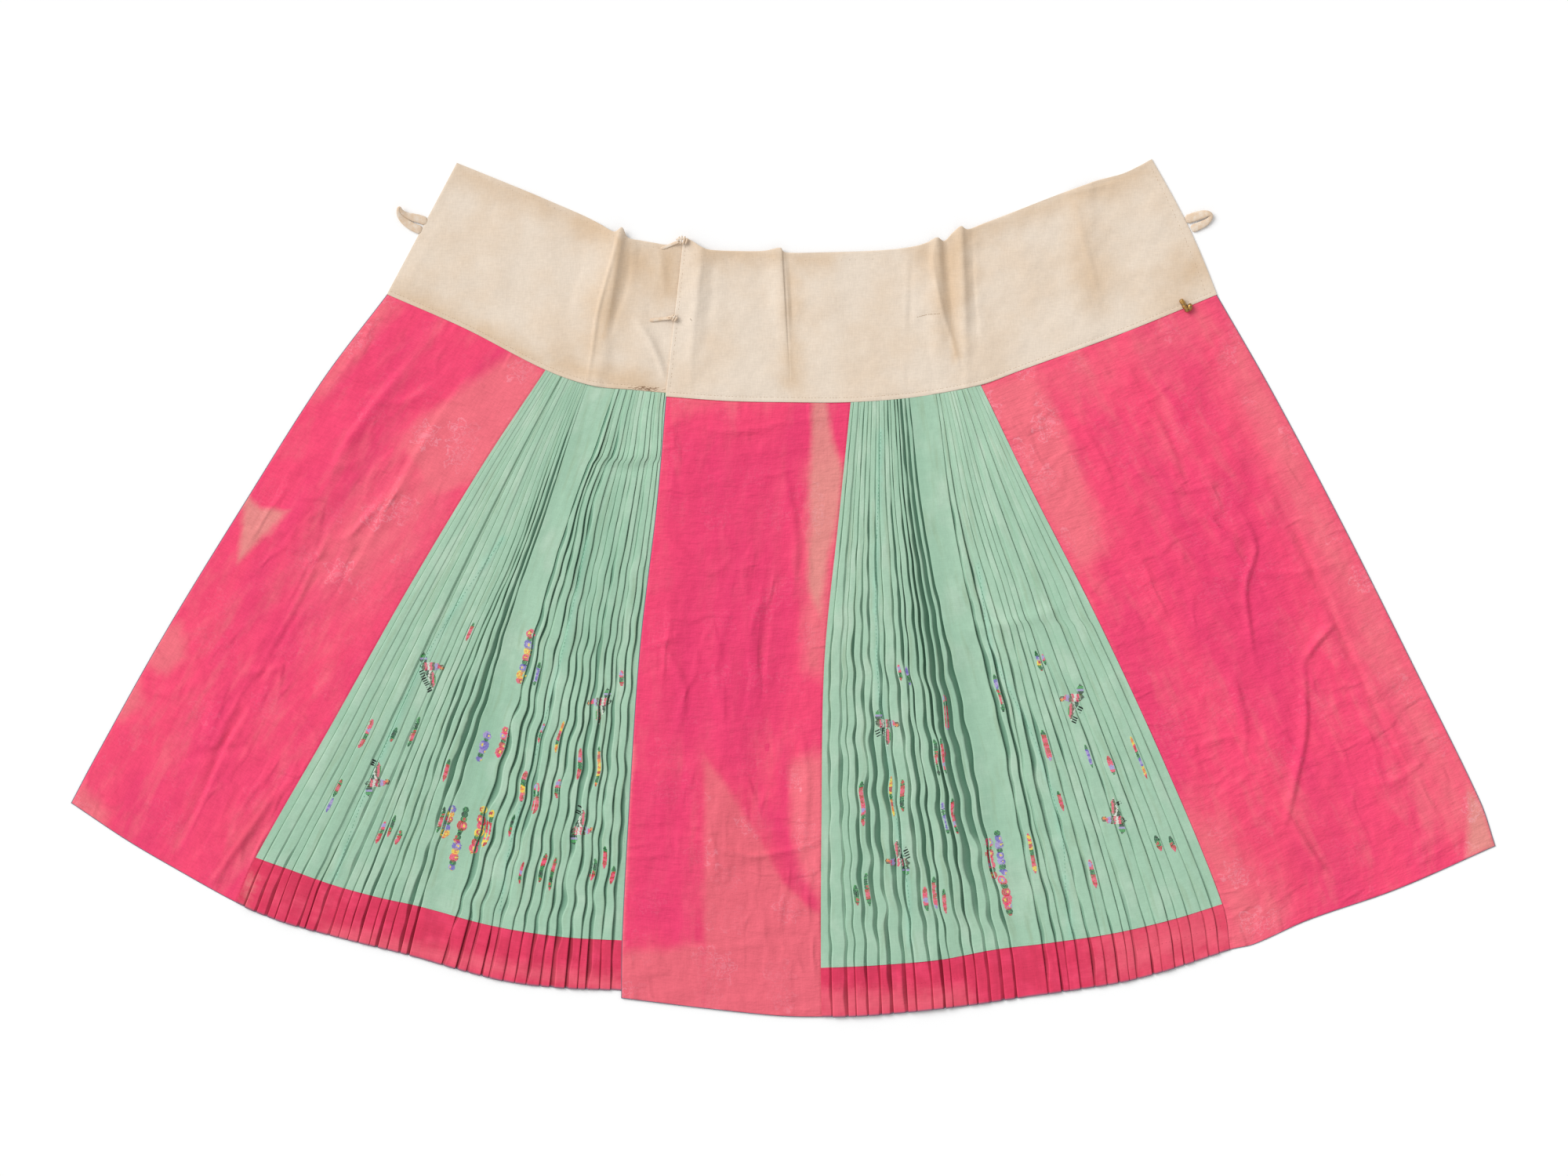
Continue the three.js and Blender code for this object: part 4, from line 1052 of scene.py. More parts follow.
def add(tree, kind, inputs=None, **settings):
    """Adds a shader node with its settings, and its inputs as values or links."""
    made = tree.nodes.new("ShaderNode" + kind)
    for name, value in settings.items():
        setattr(made, name, value)
    for name, value in (inputs or {}).items():
        if isinstance(value, bpy.types.NodeSocket):
            tree.links.new(value, made.inputs[name])
        else:
            made.inputs[name].default_value = value
    return made


def worked(tree, operation, *values):
    """What a maths node makes of one value or two."""
    return add(tree, "Math", dict(enumerate(values)), operation=operation).outputs[0]


def new_material(name, roughness, sheen=0.0, specular=0.3, metallic=0.0):
    material = bpy.data.materials.new(name)
    material.use_nodes = True
    tree = material.node_tree
    shader = next(node for node in tree.nodes if node.type == "BSDF_PRINCIPLED")
    shader.inputs["Roughness"].default_value = roughness
    shader.inputs["Sheen Weight"].default_value = sheen
    shader.inputs["Sheen Roughness"].default_value = 0.4
    shader.inputs["Specular IOR Level"].default_value = specular
    shader.inputs["Metallic"].default_value = metallic
    return material, tree, shader


def mark_of(tree, name):
    return add(tree, "Attribute", attribute_name=name).outputs["Fac"]


def cloth_place(tree):
    return add(tree, "UVMap", uv_map="UVMap").outputs["UV"]


def noise(tree, place, size, seed=0.0, detail=3.0, stretch=(1, 1), roughness=0.55):
    """Noise whose blotches are about as large as size and stretch say, in millimetres."""
    scaled = add(tree, "Mapping", {
        "Vector": place,
        "Location": (seed, seed * 0.37, seed * 0.71),
        "Scale": (1 / (size * stretch[0] * MM), 1 / (size * stretch[1] * MM), 1 / (size * MM)),
    })
    return add(tree, "TexNoise", {
        "Vector": scaled.outputs[0], "Scale": 1.0, "Detail": detail, "Roughness": roughness,
    }).outputs["Fac"]


def ranged(tree, value, low, high, to_low=0.0, to_high=1.0):
    return add(tree, "MapRange", {
        "Value": value, "From Min": low, "From Max": high, "To Min": to_low, "To Max": to_high,
    }, interpolation_type="SMOOTHSTEP").outputs["Result"]


def blend_color(tree, share, a, b, kind="MIX"):
    """Goes from one colour to another by a share."""
    inputs = {0: share, 6: a, 7: b}
    return add(tree, "Mix", inputs, data_type="RGBA", blend_type=kind, clamp_factor=True).outputs[2]


def toned(tree, color, tone, low, high, most, *terms):
    """Brings in a tone as the sum of the terms rises from low to high, at most by the share most."""
    return blend_color(tree, ranged(tree, sum_of(tree, *terms), low, high, 0.0, most), color, tone)


def sum_of(tree, *terms):
    """Adds values, each with its own weight."""
    total = None
    for value, weight in terms:
        part = worked(tree, "MULTIPLY", value, weight)
        total = part if total is None else worked(tree, "ADD", total, part)
    return total


def shaded(tree, color, value, low, high):
    """Makes a colour darker or lighter by a value around its middle."""
    factor = ranged(tree, value, 0.25, 0.75, low, high)
    grey = add(tree, "CombineColor", {0: factor, 1: factor, 2: factor}).outputs[0]
    return blend_color(tree, 1.0, color, grey, "MULTIPLY")


def bumped(tree, shader, height, distance):
    bump = add(tree, "Bump", {"Height": height, "Distance": distance * MM})
    tree.links.new(bump.outputs[0], shader.inputs["Normal"])


def woven(tree, place, color, spacing, slub, warp_shades, weft_shades):
    """Shades a colour by its warp and weft, fine streaks both ways that are as long as the slubs.
    Gives the colour, the warp and the weft."""
    warp = noise(tree, place, spacing, 3.1, 2.0, (1, slub))
    weft = noise(tree, place, spacing, 8.7, 2.0, (slub, 1))
    color = shaded(tree, color, warp, *warp_shades)
    return shaded(tree, color, weft, *weft_shades), warp, weft


def damask(tree, place, spacing, radius):
    """Round flower figures of the damask, from 0 on the ground to 1 on the figure."""
    cells = add(tree, "TexVoronoi", {
        "Vector": place, "Scale": 1 / (spacing * MM), "Randomness": 0.8,
    }, voronoi_dimensions="2D", feature="F1")
    off = add(tree, "VectorMath", {0: place, 1: cells.outputs["Position"]}, operation="SUBTRACT").outputs[0]
    local = add(tree, "VectorMath", {0: off, "Scale": 1 / (spacing * MM)}, operation="SCALE").outputs[0]
    parts = add(tree, "SeparateXYZ", {0: local})
    angle = worked(tree, "ARCTAN2", parts.outputs[1], parts.outputs[0])
    reach = add(tree, "VectorMath", {0: local}, operation="LENGTH").outputs["Value"]
    wave = worked(tree, "COSINE", worked(tree, "MULTIPLY", angle, PETALS))
    far = worked(tree, "DIVIDE", reach, ranged(tree, wave, -1.0, 1.0, 0.62, 1.0))
    size = radius / spacing
    terms = [(ranged(tree, far, size * 0.26, size * 0.2), 0.7)]
    for ring in (0.9, 0.52):
        line = worked(tree, "ABSOLUTE", worked(tree, "SUBTRACT", far, size * ring))
        terms.append((ranged(tree, line, size * 0.1, size * 0.03), 1.0))
    return sum_of(tree, *terms)


def wrinkled(tree, place, size, seed, stretch):
    """Thin raised lines in patches, as in silk that was folded away."""
    value = noise(tree, place, size, seed, 2.0, stretch)
    off = worked(tree, "ABSOLUTE", worked(tree, "SUBTRACT", value, 0.5))
    patch = ranged(tree, noise(tree, place, size * 1.6, seed + 3.0), 0.46, 0.62)
    return worked(tree, "MULTIPLY", ranged(tree, off, 0.09, 0.0), patch)


def silk_damask(colors):
    """Silk damask, dyed pink and faded: a soft sheen, tone-on-tone flowers, and tide lines where
    light and damp took the dye. Threads are drawn about 1.5 mm apart, coarser than real, to show."""
    material, tree, shader = new_material("silk_damask_pink", 0.62, sheen=0.12, specular=0.22)
    place = cloth_place(tree)
    broad = noise(tree, place, 110, 1.0, 4.0, (0.6, 2.2))
    blotch = noise(tree, place, 30, 5.0, 5.0, (0.7, 2.4))
    fine = noise(tree, place, 9, 9.0, 4.0)
    color = blend_color(tree, ranged(tree, broad, 0.42, 0.66, 0.0, 0.6), colors.pink, colors.deep_pink)
    color = blend_color(tree, ranged(tree, blotch, 0.45, 0.76, 0.0, 0.5), color, colors.salmon)
    color = blend_color(tree, sum_of(tree, (mark_of(tree, "deep"), 0.7)), color, colors.deep_pink)
    edge = sum_of(tree, (mark_of(tree, "salmon"), 1.0), (mark_of(tree, "deep"), -0.5), (blotch, 0.5),
                  (broad, 0.35), (fine, 0.18))
    faded = ranged(tree, edge, 0.5, 1.36, 0.0, 0.95)
    color = blend_color(tree, faded, color, colors.salmon)
    pale = mark_of(tree, "pale")
    color = toned(tree, color, colors.pale, 0.62, 1.3, 0.8, (pale, 1.0), (blotch, 0.5), (fine, 0.25))
    color, warp, weft = woven(tree, place, color, 1.5, 9, (0.965, 1.03), (0.95, 1.04))
    aside = ranged(tree, noise(tree, place, 12, 31.0, 3.0), 0.2, 0.8, -0.006, 0.006)
    along = ranged(tree, fine, 0.2, 0.8, -0.005, 0.005)
    shake = add(tree, "CombineXYZ", {0: aside, 1: along}).outputs[0]
    shaken = add(tree, "VectorMath", {0: place, 1: shake}, operation="ADD").outputs[0]
    figures = damask(tree, shaken, 58, 20)
    clear = ranged(tree, noise(tree, place, 80, 41.0), 0.4, 0.6, 0.15, 1.0)
    by_fade = ranged(tree, faded, 0.25, 0.9, 0.03, 0.15)
    shown = worked(tree, "MULTIPLY", worked(tree, "MULTIPLY", figures, clear), by_fade)
    color = blend_color(tree, shown, color, FIGURE_TINT)
    color = blend_color(tree, sum_of(tree, (mark_of(tree, "dusky"), 0.6)), color, colors.dusky)
    color = blend_color(tree, mark_of(tree, "facing"), color, colors.facing)
    tree.links.new(color, shader.inputs["Base Color"])
    tree.links.new(sum_of(tree, (figures, -0.1), (blotch, 0.08), (0.62, 1.0)), shader.inputs["Roughness"])
    wrinkle = noise(tree, place, 26, 13.0, 5.0, (1.7, 0.7), 0.6)
    lines = wrinkled(tree, place, 70, 17.0, (1.4, 0.6))
    slanted = wrinkled(tree, place, 84, 23.0, (0.55, 1.6))
    height = sum_of(tree, (wrinkle, 1.0), (lines, 0.26), (slanted, 0.34), (fine, 0.18), (warp, 0.04),
                    (weft, 0.05))
    bumped(tree, shader, height, 3.0)
    return material


def silk_border(colors):
    """Plain-woven silk of the hem borders: even pink, faded along the foot and at the outer ends,
    with deep red painted shade inside the folds."""
    material, tree, shader = new_material("silk_plain_pink", 0.6, sheen=0.12, specular=0.22)
    place = cloth_place(tree)
    blotch = noise(tree, place, 22, 2.0, 5.0, (1.6, 0.9))
    fine = noise(tree, place, 6, 6.0, 4.0)
    streak = noise(tree, place, 9, 3.0, 3.0, (1.0, 9.0))
    color = blend_color(tree, ranged(tree, blotch, 0.4, 0.75, 0.0, 0.6), colors.border, colors.pink)
    color = shaded(tree, color, streak, 0.92, 1.08)
    salmon, pale = mark_of(tree, "salmon"), mark_of(tree, "pale")
    color = toned(tree, color, colors.salmon, 0.62, 1.15, 0.55, (salmon, 1.0), (blotch, 0.5), (fine, 0.2))
    color = toned(tree, color, colors.pale, 0.6, 1.0, 0.7, (pale, 1.0), (fine, 0.4))
    color, warp, weft = woven(tree, place, color, 1.4, 8, (0.96, 1.03), (0.95, 1.04))
    # Painted shade inside the folds of the border
    fold_shade = ranged(tree, mark_of(tree, "fold_shade"), 0.1, 1.0, 0.0, 0.85)
    color = blend_color(tree, fold_shade, color, colors.border_fold_shade)
    color = blend_color(tree, mark_of(tree, "facing"), color, colors.facing)
    tree.links.new(color, shader.inputs["Base Color"])
    bumped(tree, shader, sum_of(tree, (blotch, 0.7), (fine, 0.3), (warp, 0.06), (weft, 0.06)), 0.8)
    return material


def silk_gore(colors):
    """Plain-woven silk of the gores: pale mint with a soft sheen, soiled in streaks along the
    pleats, bluer beside the loom-width seams, and with dark green painted shade inside the folds."""
    material, tree, shader = new_material("silk_plain_green", 0.58, sheen=0.15, specular=0.24)
    place = cloth_place(tree)
    streak = noise(tree, place, 9, 4.0, 4.0, (1.0, 9.0))
    blotch = noise(tree, place, 42, 7.0, 4.0, (1.2, 1.6))
    fine = noise(tree, place, 7, 2.0, 4.0)
    color = blend_color(tree, ranged(tree, blotch, 0.45, 0.7, 0.0, 0.9), colors.green, colors.light_green)
    color = blend_color(tree, ranged(tree, streak, 0.5, 0.74, 0.0, 0.75), color, colors.dull_green)
    seam = mark_of(tree, "seam")
    color = toned(tree, color, colors.seam_green, 0.4, 1.2, 0.3, (seam, 1.0), (fine, 0.45))
    color = shaded(tree, color, fine, 0.97, 1.03)
    color, warp, weft = woven(tree, place, color, 1.4, 8, (0.97, 1.025), (0.97, 1.025))
    # Painted shade where the gores lie in deep folds, and a darker green towards the hem that is partly
    # painted shade and partly soil
    color = blend_color(tree, sum_of(tree, (mark_of(tree, "hollow_shade_and_soil"), 0.34)), color, colors.shade_and_soil_green)
    # Painted shade inside the folds of the gores
    fold_shade = ranged(tree, mark_of(tree, "fold_shade"), 0.0, 1.0, 0.0, 0.85)
    color = blend_color(tree, fold_shade, color, colors.green_fold_shade)
    tree.links.new(color, shader.inputs["Base Color"])
    bumped(tree, shader, sum_of(tree, (blotch, 0.5), (fine, 0.3), (warp, 0.06), (weft, 0.06)), 0.9)
    return material


def cotton_band(colors):
    """Plain-woven cotton, washed soft and matt: cream with uneven threads, yellowed and stained along
    the edges, with tan painted shade along the folds. Threads are drawn about 1.3 mm apart, coarser than
    real, to show."""
    material, tree, shader = new_material("cotton_plain_cream", 0.9, sheen=0.1, specular=0.15)
    place = cloth_place(tree)
    broad = noise(tree, place, 70, 3.0, 4.0)
    blotch = noise(tree, place, 20, 8.0, 5.0)
    fleck = noise(tree, place, 2.6, 12.0, 3.0)
    color = blend_color(tree, ranged(tree, broad, 0.36, 0.7, 0.0, 0.6), colors.cream, colors.warm)
    # Real stains, together with painted shade along the band's folds
    stain_and_fold_shade = mark_of(tree, "stain_and_fold_shade")
    color = toned(tree, color, colors.tan, 0.4, 1.5, 0.74, (stain_and_fold_shade, 1.0), (blotch, 0.4), (broad, 0.4))
    color, warp, weft = woven(tree, place, color, 1.3, 7, (0.965, 1.025), (0.96, 1.025))
    color = shaded(tree, color, fleck, 0.98, 1.01)
    tree.links.new(color, shader.inputs["Base Color"])
    height = sum_of(tree, (blotch, 0.6), (broad, 0.8), (fleck, 0.06), (warp, 0.1), (weft, 0.12))
    bumped(tree, shader, height, 1.0)
    return material


def cotton_tape(colors):
    """Folded cotton tape, handled and tanned: matt, with fine threads along it."""
    material, tree, shader = new_material("cotton_tape_tan", 0.92, sheen=0.1, specular=0.12)
    place = add(tree, "TexCoord").outputs["Object"]
    blotch = noise(tree, place, 7, 1.0, 4.0)
    fleck = noise(tree, place, 0.9, 5.0, 3.0)
    color = blend_color(tree, ranged(tree, blotch, 0.4, 0.7), colors.tape, colors.cream)
    color = blend_color(tree, ranged(tree, fleck, 0.52, 0.75, 0.0, 0.6), color, colors.tan)
    tree.links.new(color, shader.inputs["Base Color"])
    bumped(tree, shader, sum_of(tree, (fleck, 0.5), (blotch, 0.5)), 0.4)
    return material


def brass(colors):
    """Cast brass, long handled: dull brown in the hollows and golden where it is rubbed."""
    material, tree, shader = new_material("brass_worn", 0.42, specular=0.5, metallic=0.85)
    place = add(tree, "TexCoord").outputs["Object"]
    patina = noise(tree, place, 2.4, 2.0, 5.0)
    color = blend_color(tree, ranged(tree, patina, 0.4, 0.62), colors.brass, colors.brass_worn)
    tree.links.new(color, shader.inputs["Base Color"])
    tree.links.new(ranged(tree, patina, 0.3, 0.7, 0.55, 0.34), shader.inputs["Roughness"])
    bumped(tree, shader, patina, 0.25)
    return material


def thread_material(name, roughness=0.6):
    """Sewing and embroidery silk: each stitch has its own dye, with a soft gloss along it."""
    material, tree, shader = new_material(name, roughness, sheen=0.2, specular=0.3)
    dye = add(tree, "VertexColor", layer_name="dye").outputs["Color"]
    place = add(tree, "TexCoord").outputs["Object"]
    color = shaded(tree, dye, noise(tree, place, 1.6, 4.0, 2.0), 0.86, 1.12)
    tree.links.new(color, shader.inputs["Base Color"])
    return material


def paper(color):
    """Matt seamless studio paper."""
    material, _, shader = new_material("paper_matt_pale", 0.95, specular=0.05)
    shader.inputs["Base Color"].default_value = color
    return material


MATERIALS = {}


def material_for(name):
    """Each material is made once, from the colours of the scene's settings."""
    scene = bpy.context.scene
    makers = {
        "damask": lambda: silk_damask(scene.skirt_silk),
        "border": lambda: silk_border(scene.skirt_silk),
        "gore": lambda: silk_gore(scene.skirt_silk),
        "cotton": lambda: cotton_band(scene.skirt_trim),
        "tape": lambda: cotton_tape(scene.skirt_trim),
        "brass": lambda: brass(scene.skirt_trim),
        "thread": lambda: thread_material("silk_thread"),
        "sewing": lambda: thread_material("sewing_thread", 0.85),
    }
    if name not in MATERIALS:
        MATERIALS[name] = makers[name]()
    return MATERIALS[name]


# Flat panels


def flat_panel(name, left, right, top, foot, base, free, seed):
    """A lined silk panel from waist seam to hem. free names its edges that aren't sewn down."""
    sizes = bpy.context.scene.skirt_sizes
    place = spread(left, right, top, foot, 0, 1)
    length = np.linalg.norm(side[left](1.0) - side[left](0.0))
    wide = np.linalg.norm(side[right](WIDTH_ROW) - side[left](WIDTH_ROW))
    step = HIDDEN_STEP if name == "under_panel" else PANEL_STEP
    shares = even_with_edges(int(wide / step) + 1, wide)
    downs = even_with_edges(int(length / step) + 1, length)
    down, share = np.meshgrid(downs, shares, indexing="ij")
    x, y = place(down, share)
    width = np.hypot(x[:, -1] - x[:, 0], y[:, -1] - y[:, 0])[:, None]
    away = edge_distances(share, width, down, length)
    rim = np.minimum(away["left"], away["right"])
    held = smoothstep(rim, 0, 40)
    z = base(x, y) + PANEL_WALL + swollen(x, y, SWELLS.get(name, ())) * np.sin(np.pi * share)
    z += creased(x, y, CREASES.get(name, ()), 0.6, 2.0) * smoothstep(rim, 0, 12)
    z += (sizes.ripple / MM) * (rippled(x, y, seed, 62) + 0.5 * rippled(x, y, seed + 1, 26)) * held
    facing = np.zeros(x.shape)
    for edge, off in away.items():
        if edge in free:
            z -= FREE_EDGE[0] * (1 - smoothstep(off, 0, FREE_EDGE[1]))
            facing = np.maximum(facing, 1 - smoothstep(off, *PANEL_FACING))
        else:
            z -= SEWN_EDGE[0] * (1 - smoothstep(off, 0, SEWN_EDGE[1]))
    z = np.maximum(z, base(x, y) + sizes.panel_cloth / MM + LIFT)
    dusky = covered(x, y, DUSKY.get(name, ()))
    if name in DUSKY_FOLD:
        off, along = line_at(x, y, DUSKY_FOLD[name])
        dusky = np.exp(-((off / DUSKY_FOLD_WIDTH) ** 2)) * np.sin(np.pi * along)
    marks = {
        "salmon": covered(x, y, SALMON.get(name, ())),
        "pale": covered(x, y, PALE.get(name, ())),
        "deep": covered(x, y, DEEP.get(name, ())),
        "dusky": dusky,
        "facing": facing,
    }
    grain = np.stack([(share - 0.5) * width, -down * length], axis=-1)
    piece = cloth_grid(name + "_cloth", np.stack([x, y, z], axis=-1), marks, grain)
    thicken(piece, sizes.panel_cloth)
    return piece


def cut_of(widths, length):
    """Width, length and area of a pleated or gathered cut, in metres, from its widths at both ends."""
    return max(widths) * MM, length * MM, sum(widths) / 2 * length * MM * MM


def area_between(left, right, top, foot, start=0, end=1):
    """Width, length and area of a piece as cut, in metres, from its own edges."""
    place = spread(left, right, top, foot, start, end)
    down, share = np.meshgrid(np.linspace(start, end, 60), np.linspace(0, 1, 60), indexing="ij")
    x, y = place(down, share)
    sides = [np.stack([x[:, i], y[:, i]], axis=-1) for i in (0, -1)]
    length = max(np.linalg.norm(np.diff(line, axis=0), axis=1).sum() for line in sides)
    width = max(np.hypot(np.diff(x, axis=1), np.diff(y, axis=1)).sum(axis=1))
    ax, ay = x[1:, 1:] - x[:-1, :-1], y[1:, 1:] - y[:-1, :-1]
    bx, by = x[1:, :-1] - x[:-1, 1:], y[1:, :-1] - y[:-1, 1:]
    area = np.abs(ax * by - ay * bx).sum() / 2
    return width * MM, length * MM, area * MM * MM


class SKIRT_OT_flat_panels(bpy.types.Operator):
    """Makes the four flat panels of pink damask"""

    bl_idname = "skirt.flat_panels"
    bl_label = "Flat Panels"

    def execute(self, context):
        panels = [
            ("panel_left", "left_side", "left_seam", "waist_left", "hem_left", on_surface,
             ("left", "foot"), [], 21),
            ("under_panel", "tucked", "hidden", "waist_left", "hem_left", on_surface,
             ("right", "foot"), [], 25),
            ("center_panel", "overlap", "center_seam", "waist_right", "hem_right", on_hidden_panel,
             ("left", "foot"), ["under_panel"], 31),
            ("panel_right", "right_seam", "right_side", "waist_right", "hem_right", on_surface,
             ("right", "foot"), [], 43),
        ]
        for name, left, right, top, foot, base, free, under, seed in panels:
            piece = flat_panel(name, left, right, top, foot, base, free, seed)
            finish_piece(piece, material_for("damask"), name)
            lay(piece, area_between(left, right, top, foot))
        return {"FINISHED"}


# Pleated gores and hem borders


def gore_folds(gore, place, downs, width, box, wave):
    """The fold edges of a gore as shares of its width, how far the gap beside each stands open, and
    how high each fold and how wide its fall is, all with small irregularities of their own."""
    chance = np.random.default_rng(bpy.context.scene.skirt_stage.stitches + len(gore))
    folds_left, folds_right = GORES[gore]["folds"]
    count = folds_left + folds_right
    jitter = chance.uniform(-FOLD_SHIFT, FOLD_SHIFT, count)
    phases = np.cumsum(chance.normal(0, PHASE_STEP, count))
    heights = chance.uniform(*FOLD_HEIGHTS, count)
    wider = chance.uniform(*FALL_WIDTHS, count)
    loose = chance.uniform(*LOOSENESS, count)
    inner = -1 if gore == "left" else 1
    opening_rows = smooth_through(DOWN, OPENINGS[gore]["rows"])(downs)
    first_x = place(downs, np.zeros(len(downs)))[0]

    def wavered(share, phase):
        """Moves a fold edge from side to side along its length."""
        x, y = place(downs, share)
        window = smoothstep(downs, *WAVER_STARTS) * (1 - smoothstep(downs, *WAVER_ENDS))
        near = 0.12 + 0.88 * smoothstep(-inner * (share - 0.5), -0.25, 0.12)
        sewn = np.clip(np.minimum(share, 1 - share) / SEAM_HOLDS, 0, 1)
        beside_box = np.exp(-(((share - box.mean(axis=1)) / BOX_REACH) ** 2))
        drift = (DRIFT + BOX_DRIFT * beside_box) * np.sin(y / DRIFT_LENGTH + DRIFT_SHIFT * phase)
        moved = (wave * waves(WAVERING, x, y, phase) * near + drift) * window
        moved += humps(SWINGS[gore], share, downs)
        for foot_y, reach, first_share, shift in JOGS[gore]:
            bend = foot_y + JOG_BEND
            up = smoothstep(y, foot_y, bend) * (1 - smoothstep(y, bend, foot_y + reach))
            moved += shift * up * smoothstep(share, first_share - 0.1, first_share + 0.1)
        return share + moved * sewn / width

    def opened(share, phase, slack):
        """How far the gap beside a fold edge stands open along its length."""
        base = np.array([np.interp(s, OPENINGS[gore]["shares"], row) for s, row in zip(share, opening_rows)])
        swing = waves(GAP_WAVES, first_x, place(downs, share)[1], phase)
        gape = base * slack * (1 + 0.75 * swing) + PUFF_OPENS * humps(PUFFS[gore], share - box[:, 0], downs)
        return np.clip(gape, LEAST_GAPE, MOST_GAPE)

    edges = []
    for k in range(1, folds_left + 1):
        odd = 0 if k == folds_left else jitter[k - 1]
        edges.append(wavered(box[:, 0] * (k + odd) / folds_left, phases[k - 1]))
    for j in range(folds_right):
        odd = 0 if j == 0 else jitter[folds_left + j]
        edges.append(wavered(box[:, 1] + (1 - box[:, 1]) * (j + odd) / folds_right, phases[folds_left + j]))
    gapes = [opened(edge, phases[i] + i, loose[i]) for i, edge in enumerate(edges)]
    for way, first_fold, step in (("left", folds_left, -1), ("right", folds_left - 1, 1)):
        for number, middle, reach, wide in WIDE_FOLDS[gore][way]:
            index = first_fold + step * number
            swing = 1 + 0.3 * np.sin(downs * 41 + 2.1 * number) + 0.2 * np.sin(downs * 97 + number)
            wide = wide * swing * (1 - NARROWER * smoothstep(downs, *NARROWS))
            gapes[index] = np.maximum(gapes[index], wide * np.exp(-(((downs - middle) / reach) ** 4)))
    return edges, gapes, heights, wider


def gore_section(gore, folds, downs, width, box, crest_top):
    """The section of a gore at every row, from its left seam to its right: each point's share of the
    width, its height and how far inside a gap it lies, which sets the painted shade there."""
    edges, gapes, heights, wider = folds
    zero, one = np.zeros(len(downs)), np.ones(len(downs))
    least_dark = mix(*GAP_SHADES, smoothstep(downs, *DEEPENS))

    def roll_of(at, into, pitch, crest, gape):
        """The cloth round a fold edge, from under it to its face."""
        dark = mix(0.14 + least_dark, 1.0, np.clip(gape, 0, 1))
        return [(at + into * u * pitch / width, crest * h, fold_shade * dark) for u, h, fold_shade in ROLL]

    def pleat(own, goal, after, index):
        """The cloth from one fold edge, or from a side seam, to where it goes under the next."""
        fold = edges[own] if own is not None else (zero if goal == 0 else one)
        pitch = (edges[goal] - fold) * width
        size, into = np.abs(pitch), np.sign(pitch)
        puff = humps(PUFFS[gore], (fold + edges[goal]) / 2 - box[:, 0], downs)
        crest = np.minimum(size * CREST_PER_PITCH, crest_top) * (1 + puff) * heights[index]
        gape = gapes[goal]
        fall = np.clip(mix(*FALL_SHARES, gape) * wider[index] + 0.1 * puff, 0.08, 0.66)
        if own is None:
            low = np.minimum(crest, LOW_CLOTH) + 0.2
            made = [(fold, low, zero), (mix(fold, edges[goal], 0.5), low, zero)]
            crest = np.minimum(crest, LOW_CLOTH * 1.2)
        else:
            made = roll_of(fold, into, size, crest, gapes[own])
        # How dark the painted shade in the fall is, deeper where the gap stands open
        shown_fold_shade = mix(least_dark, 1.0, np.clip(gape, 0, 1))
        for (to_go, h, fold_shade), closed in zip(FALL, CLOSED_FALL):
            height = crest * mix(closed, h, np.clip(gape * 1.3, 0, 1))
            made.append((edges[goal] - pitch / width * fall * to_go, height, fold_shade * shown_fold_shade))
        tuck = np.maximum(LEAST_TUCK, TUCK_SHARE * np.abs(edges[after] - edges[goal]) * width)
        made.append((edges[goal] + into * tuck / width, TUCK_HEIGHT * one, one))
        return made

    count, right_edge = len(edges), GORES[gore]["folds"][0]
    left_edge = right_edge - 1
    columns = pleat(None, 0, 1, 0)
    for k in range(left_edge):
        columns += pleat(k, k + 1, min(k + 2, left_edge), k)
    box_left, box_right = edges[left_edge], edges[right_edge]
    pitch = (box_left - edges[left_edge - 1]) * width
    box_crest = np.minimum(pitch * CREST_PER_PITCH, crest_top) * (1 + humps(PUFFS[gore], zero, downs))
    columns += roll_of(box_left, 1, pitch, box_crest, gapes[left_edge])
    columns += [(mix(box_left, box_right, u), box_crest * (1 - sag), zero) for u, sag in BOX_FACE]
    columns += roll_of(box_right, -1, pitch, box_crest, gapes[right_edge])[::-1]
    for j in range(right_edge + 1, count):
        columns += pleat(j, j - 1, max(j - 2, right_edge), j)[::-1]
    columns += pleat(None, count - 1, count - 2, count - 1)[::-1]
    return [np.stack(values, axis=1) for values in zip(*columns)]


